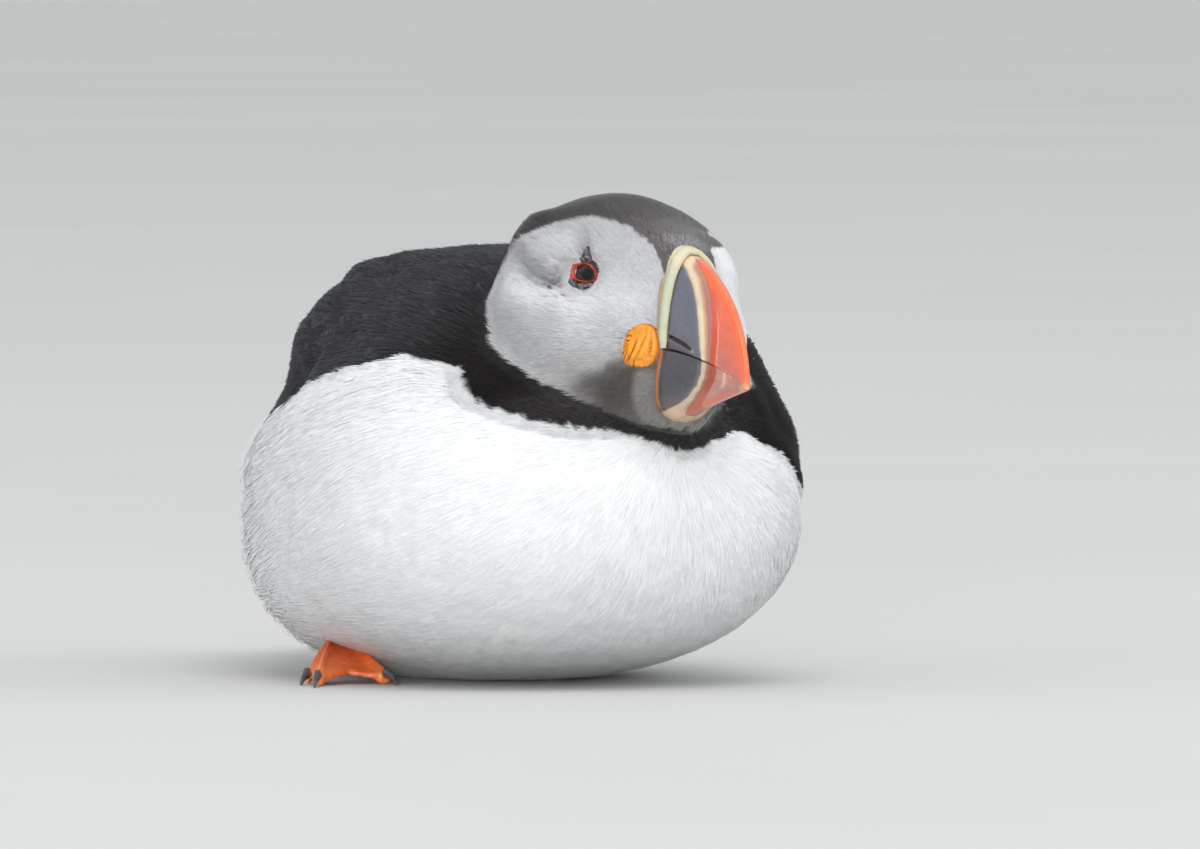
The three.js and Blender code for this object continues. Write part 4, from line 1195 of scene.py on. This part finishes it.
def closed(points, count):
    """A closed smooth curve through points."""
    p = np.array(points, float)
    s = np.linspace(0, len(p), count, endpoint=False)
    i = s.astype(int)
    f = (s - i)[:, None]
    p0, p1, p2, p3 = (p[(i + k) % len(p)] for k in (-1, 0, 1, 2))
    return 0.5 * (2 * p1 + (p2 - p0) * f + (2 * p0 - 5 * p1 + 4 * p2 - p3) * f ** 2
                  + (3 * p1 - p0 - 3 * p2 + p3) * f ** 3)


def ring():
    """The bare red ring round the opening between the lids."""
    around, across = 160, 18
    path = closed(LIDS, around)
    step_round = np.arange(around)
    out = path - np.roll(path, 2, 0)
    out = unit(np.stack([out[:, 1], -out[:, 0]], 1))
    out = np.where(dot(out, path - path.mean(0))[:, None] < 0, -out, out)
    wide = 0.4 + 1.1 * ridge_at(path[:, 0], -3.5, 1.1) - 0.17 * step(0.6, 2.2, path[:, 0])
    wide = wide + 0.06 * np.sin(step_round * 0.9)
    k = np.linspace(0, 1, across)
    flat = path[:, None] + out[:, None] * (wide[:, None] * (k[None] * 1.25 - 0.12))[..., None]
    far = np.linalg.norm(flat, axis=-1)
    on_ball = np.sqrt(np.maximum(5.75 ** 2 - far ** 2, 4))
    z = np.maximum(on_ball, EYE_FACE + 0.1 * np.clip(-flat[..., 0] - 1, 0, 4))
    fold = 0.09 * np.sin(k[None] * 22 + 1.2 * np.sin(step_round * 0.35)[:, None])
    fold = fold + 0.05 * np.sin(step_round * 1.9)[:, None]
    bow = np.sin(math.pi * k[None])
    z = z + 0.5 * bow ** 0.6 + fold * bow - 0.8 * step(0.85, 1, k)[None]
    e = np.concatenate([flat, z[..., None]], -1)
    stripe = (0.5 + 0.5 * np.sin(k[None] * 22))[..., None]
    col = mix(srgb(156, 40, 22), srgb(196, 68, 34), stripe) * np.ones((around, 1, 1))
    col = mix(col, srgb(120, 30, 22), (step(0.12, 0.0, k)[None] * np.ones((around, 1)))[..., None])
    faces = grid_faces(around, across)
    here, onward = np.arange(across - 1), np.arange(1, across)
    end = (around - 1) * across
    last = np.stack([end + here, end + onward, onward, here], 1)
    return e.reshape(-1, 3), np.concatenate([faces, last]), col.reshape(-1, 3)


e, f, col = ring()
mirrored("eye_ring_skin", from_eye(e), f, EYE, M_RING, col, "eye_ring", "eye_ring")


def patch(edge, crown, height, base, lean):
    """A thin pillow of horny skin over an outline in the eye's plane."""
    around, across = 120, 20
    path = closed(edge, around)
    middle = path.mean(0)
    k = np.linspace(0, 1, across)
    flat = middle + (path[None] - middle) * k[:, None, None]
    z = base + lean[0] * flat[..., 0] + lean[1] * flat[..., 1]
    z = z + height * (1 - k[:, None] ** crown) - 0.8 * step(0.9, 1, k)[:, None]
    e = np.concatenate([flat, z[..., None]], -1)
    e[..., 2] += 0.16 * noise(e.reshape(-1, 3), 0.5, 8).reshape(across, around)
    return e.reshape(-1, 3), grid_faces(across, around, True)


BROW = [(-2.0, 2.7), (-0.8, 2.2), (0.8, 2.4), (0.75, 3.4), (0.25, 4.8), (-0.15, 5.9), (-0.7, 4.9),
        (-1.6, 3.5)]
UNDER = [(-5.8, -1.5), (-4.8, -0.7), (-3.3, -1.4), (-1.2, -1.95), (1.2, -2.0), (2.5, -1.8), (2.2, -2.8),
         (0.6, -3.5), (-2.2, -3.2), (-4.5, -2.5)]
PLATES = (("brow_plate_skin", BROW, "brow_plate", EYE_FACE - 0.1, (0, 0.22)),
          ("lower_plate_skin", UNDER, "lower_plate", EYE_FACE + 0.2, (-0.02, -0.1)))
for name, edge, node, base, lean in PLATES:
    e, f = patch(edge, 3, 0.5, base, lean)
    col = mix(srgb(104, 106, 110), srgb(44, 44, 48), step(-0.5, 0.5, noise(e, 0.5, 9))[:, None])
    mirrored(name, from_eye(e), f, EYE, M_PLATE, col, node, "eye_plate")


def rosette():
    """The wrinkled yellow-orange disc at the corner of the gape."""
    rows, cols = 64, 250
    r = (np.linspace(0, 1, rows) ** 0.9)[:, None] * np.ones((1, cols))
    a = np.ones((rows, 1)) * np.linspace(0, 2 * math.pi, cols, endpoint=False)[None]
    x, z = r * np.cos(a), r * np.sin(a)  # x forward
    dome = np.sqrt(np.maximum(1 - r ** 3.2, 0))
    wander = a + 0.2 * np.sin(2 * a) + 0.12 * np.sin(5 * a + 6 * r)
    pleat = 1 - np.abs(np.sin(13.5 * wander)) ** 0.5
    fan = pleat * step(0.35, 0.6, r) * step(1.0, 0.8, r) * mix(0.35, 1, step(0.3, -0.5, x + 0.2 * z))

    def leaf(cx, cz, w, h, lean):
        across = np.abs(x - cx - lean * (z - cz) + 0.35 * (z - cz) ** 2) / w
        return np.exp(-(across ** 3 + (np.abs(z - cz) / h) ** 4))

    folds = leaf(0.02, -0.16, 0.18, 0.5, 0.6) + leaf(0.44, -0.02, 0.18, 0.5, 0.5)
    folds = folds + 0.8 * leaf(0.82, 0.12, 0.1, 0.6, -0.1)
    gap = leaf(0.23, -0.08, 0.06, 0.5, 0.55) + leaf(-0.2, -0.14, 0.06, 0.45, 0.55)
    gap = gap + 0.7 * leaf(0.68, 0.1, 0.06, 0.55, 0.05)
    bumpy = -0.5 * fan * (1 - np.clip(folds, 0, 1)) + 0.4 * folds - 0.5 * gap
    p = np.stack([2.0 * dome + 0.95 * bumpy * dome - 0.8, -4.9 * x - 0.5 * z, 5.0 * z], -1).reshape(-1, 3)
    # painted shade in the pleats and gaps, and painted light on the raised folds
    col = mix(srgb(232, 148, 30), srgb(150, 68, 4), np.clip(1.4 * fan + 0.85 * gap, 0, 1)[..., None])
    col = mix(col, srgb(242, 166, 54), np.clip(0.6 * folds * dome, 0, 0.6)[..., None])
    col = mix(col, srgb(186, 88, 14), (step(0.88, 1.0, r) * 0.8)[..., None])
    lean, ahead = math.radians(-12), math.radians(-30)
    p = p @ np.array(Matrix.Rotation(lean, 3, "X")).T @ np.array(Matrix.Rotation(ahead, 3, "Z")).T
    p = p + [10.7, 4.3, -0.3]
    return p, grid_faces(rows, cols, True), col.reshape(-1, 3)


p, f, col = rosette()
mirrored("rosette_skin", p, f, np.array([6.0, 4, 0]), M_ROSETTE, col, "rosette", "rosette")

# ---- feet
for word in ("right", "left"):
    co, q = remesh(*gathered((f"foot_{word}", f"leg_{word}"), lambda name: 0.2), 0.4)
    co = relaxed(co, edges_of(q), 6)
    n = vertex_normals(co, q)
    tops = [middle_of(f"claw_{word}_{i}") for i in (1, 2, 3)]
    ankle = middle_of(f"leg_{word}")
    ankle[2] = 3.0
    toe = np.max([near(co, [ankle, top], 2.0) for top in tops], axis=0)
    tip = np.max([np.exp(-(np.linalg.norm(co - top, axis=1) / 2.6) ** 2) for top in tops], axis=0)
    from_ankle = np.linalg.norm(co - ankle, axis=1)
    scutes = np.abs(np.sin(from_ankle * 2.6 + 0.8 * noise(co, 2, 24))) ** 0.5
    pebbles = noise(co, 0.8, 21)
    co = co + n * (0.1 * pebbles + 0.12 * toe * (scutes - 0.6) - 0.15)[:, None]
    co[:, 2] = np.maximum(co[:, 2], 0.0)
    col = mix(srgb(216, 90, 38), srgb(236, 114, 50), (0.5 + 0.5 * noise(co, 2.0, 22))[:, None])
    col = mix(col, srgb(246, 142, 54), (toe * (0.6 + 0.4 * scutes))[:, None])
    col = mix(col, srgb(188, 150, 112), (0.5 * tip * step(-0.2, 0.4, pebbles))[:, None])
    dress(make(f"foot_skin_{word}", co, q, M_FOOT, col), "foot_skin", f"foot_{word}", f"leg_{word}")
    for i in (1, 2, 3):
        co, q = remesh(*gathered([f"claw_{word}_{i}"], lambda name: 0.1), 0.22)
        co = relaxed(co, edges_of(q), 4)
        co[:, 2] = np.maximum(co[:, 2], 0.0)
        col = mix(srgb(52, 50, 52), srgb(84, 80, 80), (0.5 + 0.5 * noise(co, 1.2, 23))[:, None])
        dress(make(f"claw_horn_{word}_{i}", co, q, M_CLAW, col), "claw", f"claw_{word}_{i}")

# ---- floor, light and camera
# half the floor's side
FLOOR = 14000.0
M_FLOOR = material("floor_plain", 0.8, colour=srgb(204, 204, 202), variation=[(3, 0.02)], specular=0.2)
corners = FLOOR * np.array([[-1, -1, 0], [1, -1, 0], [1, 1, 0], [-1, 1, 0]])
floor = make("floor", corners, np.array([[0, 1, 2, 3]]), M_FLOOR)

world = bpy.data.worlds.new("sky")
bpy.context.scene.world = world
world.use_nodes = True
world.node_tree.nodes["Background"].inputs["Color"].default_value = (0.95, 0.98, 1.0, 1)
world.node_tree.nodes["Background"].inputs["Strength"].default_value = 0.88


def softbox(name, way, distance, strength, width):
    """A soft lamp in a direction from the bird; strength is how bright a white card facing it gets."""
    light = bpy.data.lights.new(name, "AREA")
    light.energy, light.size = strength * (math.pi * distance) ** 2, width
    obj = bpy.data.objects.new(name, light)
    bpy.context.scene.collection.objects.link(obj)
    way = Vector(way).normalized()
    obj.location = way * distance + Vector((0, 0, 0.05))
    obj.rotation_euler = (-way).to_track_quat("-Z", "Y").to_euler()


softbox("key", (-0.1, -0.45, 0.85), 4.5, 0.31, 2.6)
softbox("side", (0.8, -0.3, 0.45), 4.0, 0.13, 2.5)
softbox("fill", (-0.4, -0.92, 0.05), 3.0, 0.56, 0.7)

camera = bpy.data.objects.new("camera", bpy.data.cameras.new("camera"))
bpy.context.scene.collection.objects.link(camera)
camera.data.sensor_width, camera.data.lens = 36, 568.8
spot, aim = Vector((-1366.8, -3766.5, 209.3)) * MM, Vector((15.4, -15.8, 53.6)) * MM
camera.location = spot
camera.rotation_euler = (aim - spot).to_track_quat("-Z", "Y").to_euler()
bpy.context.scene.camera = camera

# colours are shown as they are, with no film curve
bpy.context.scene.view_settings.view_transform = "Standard"
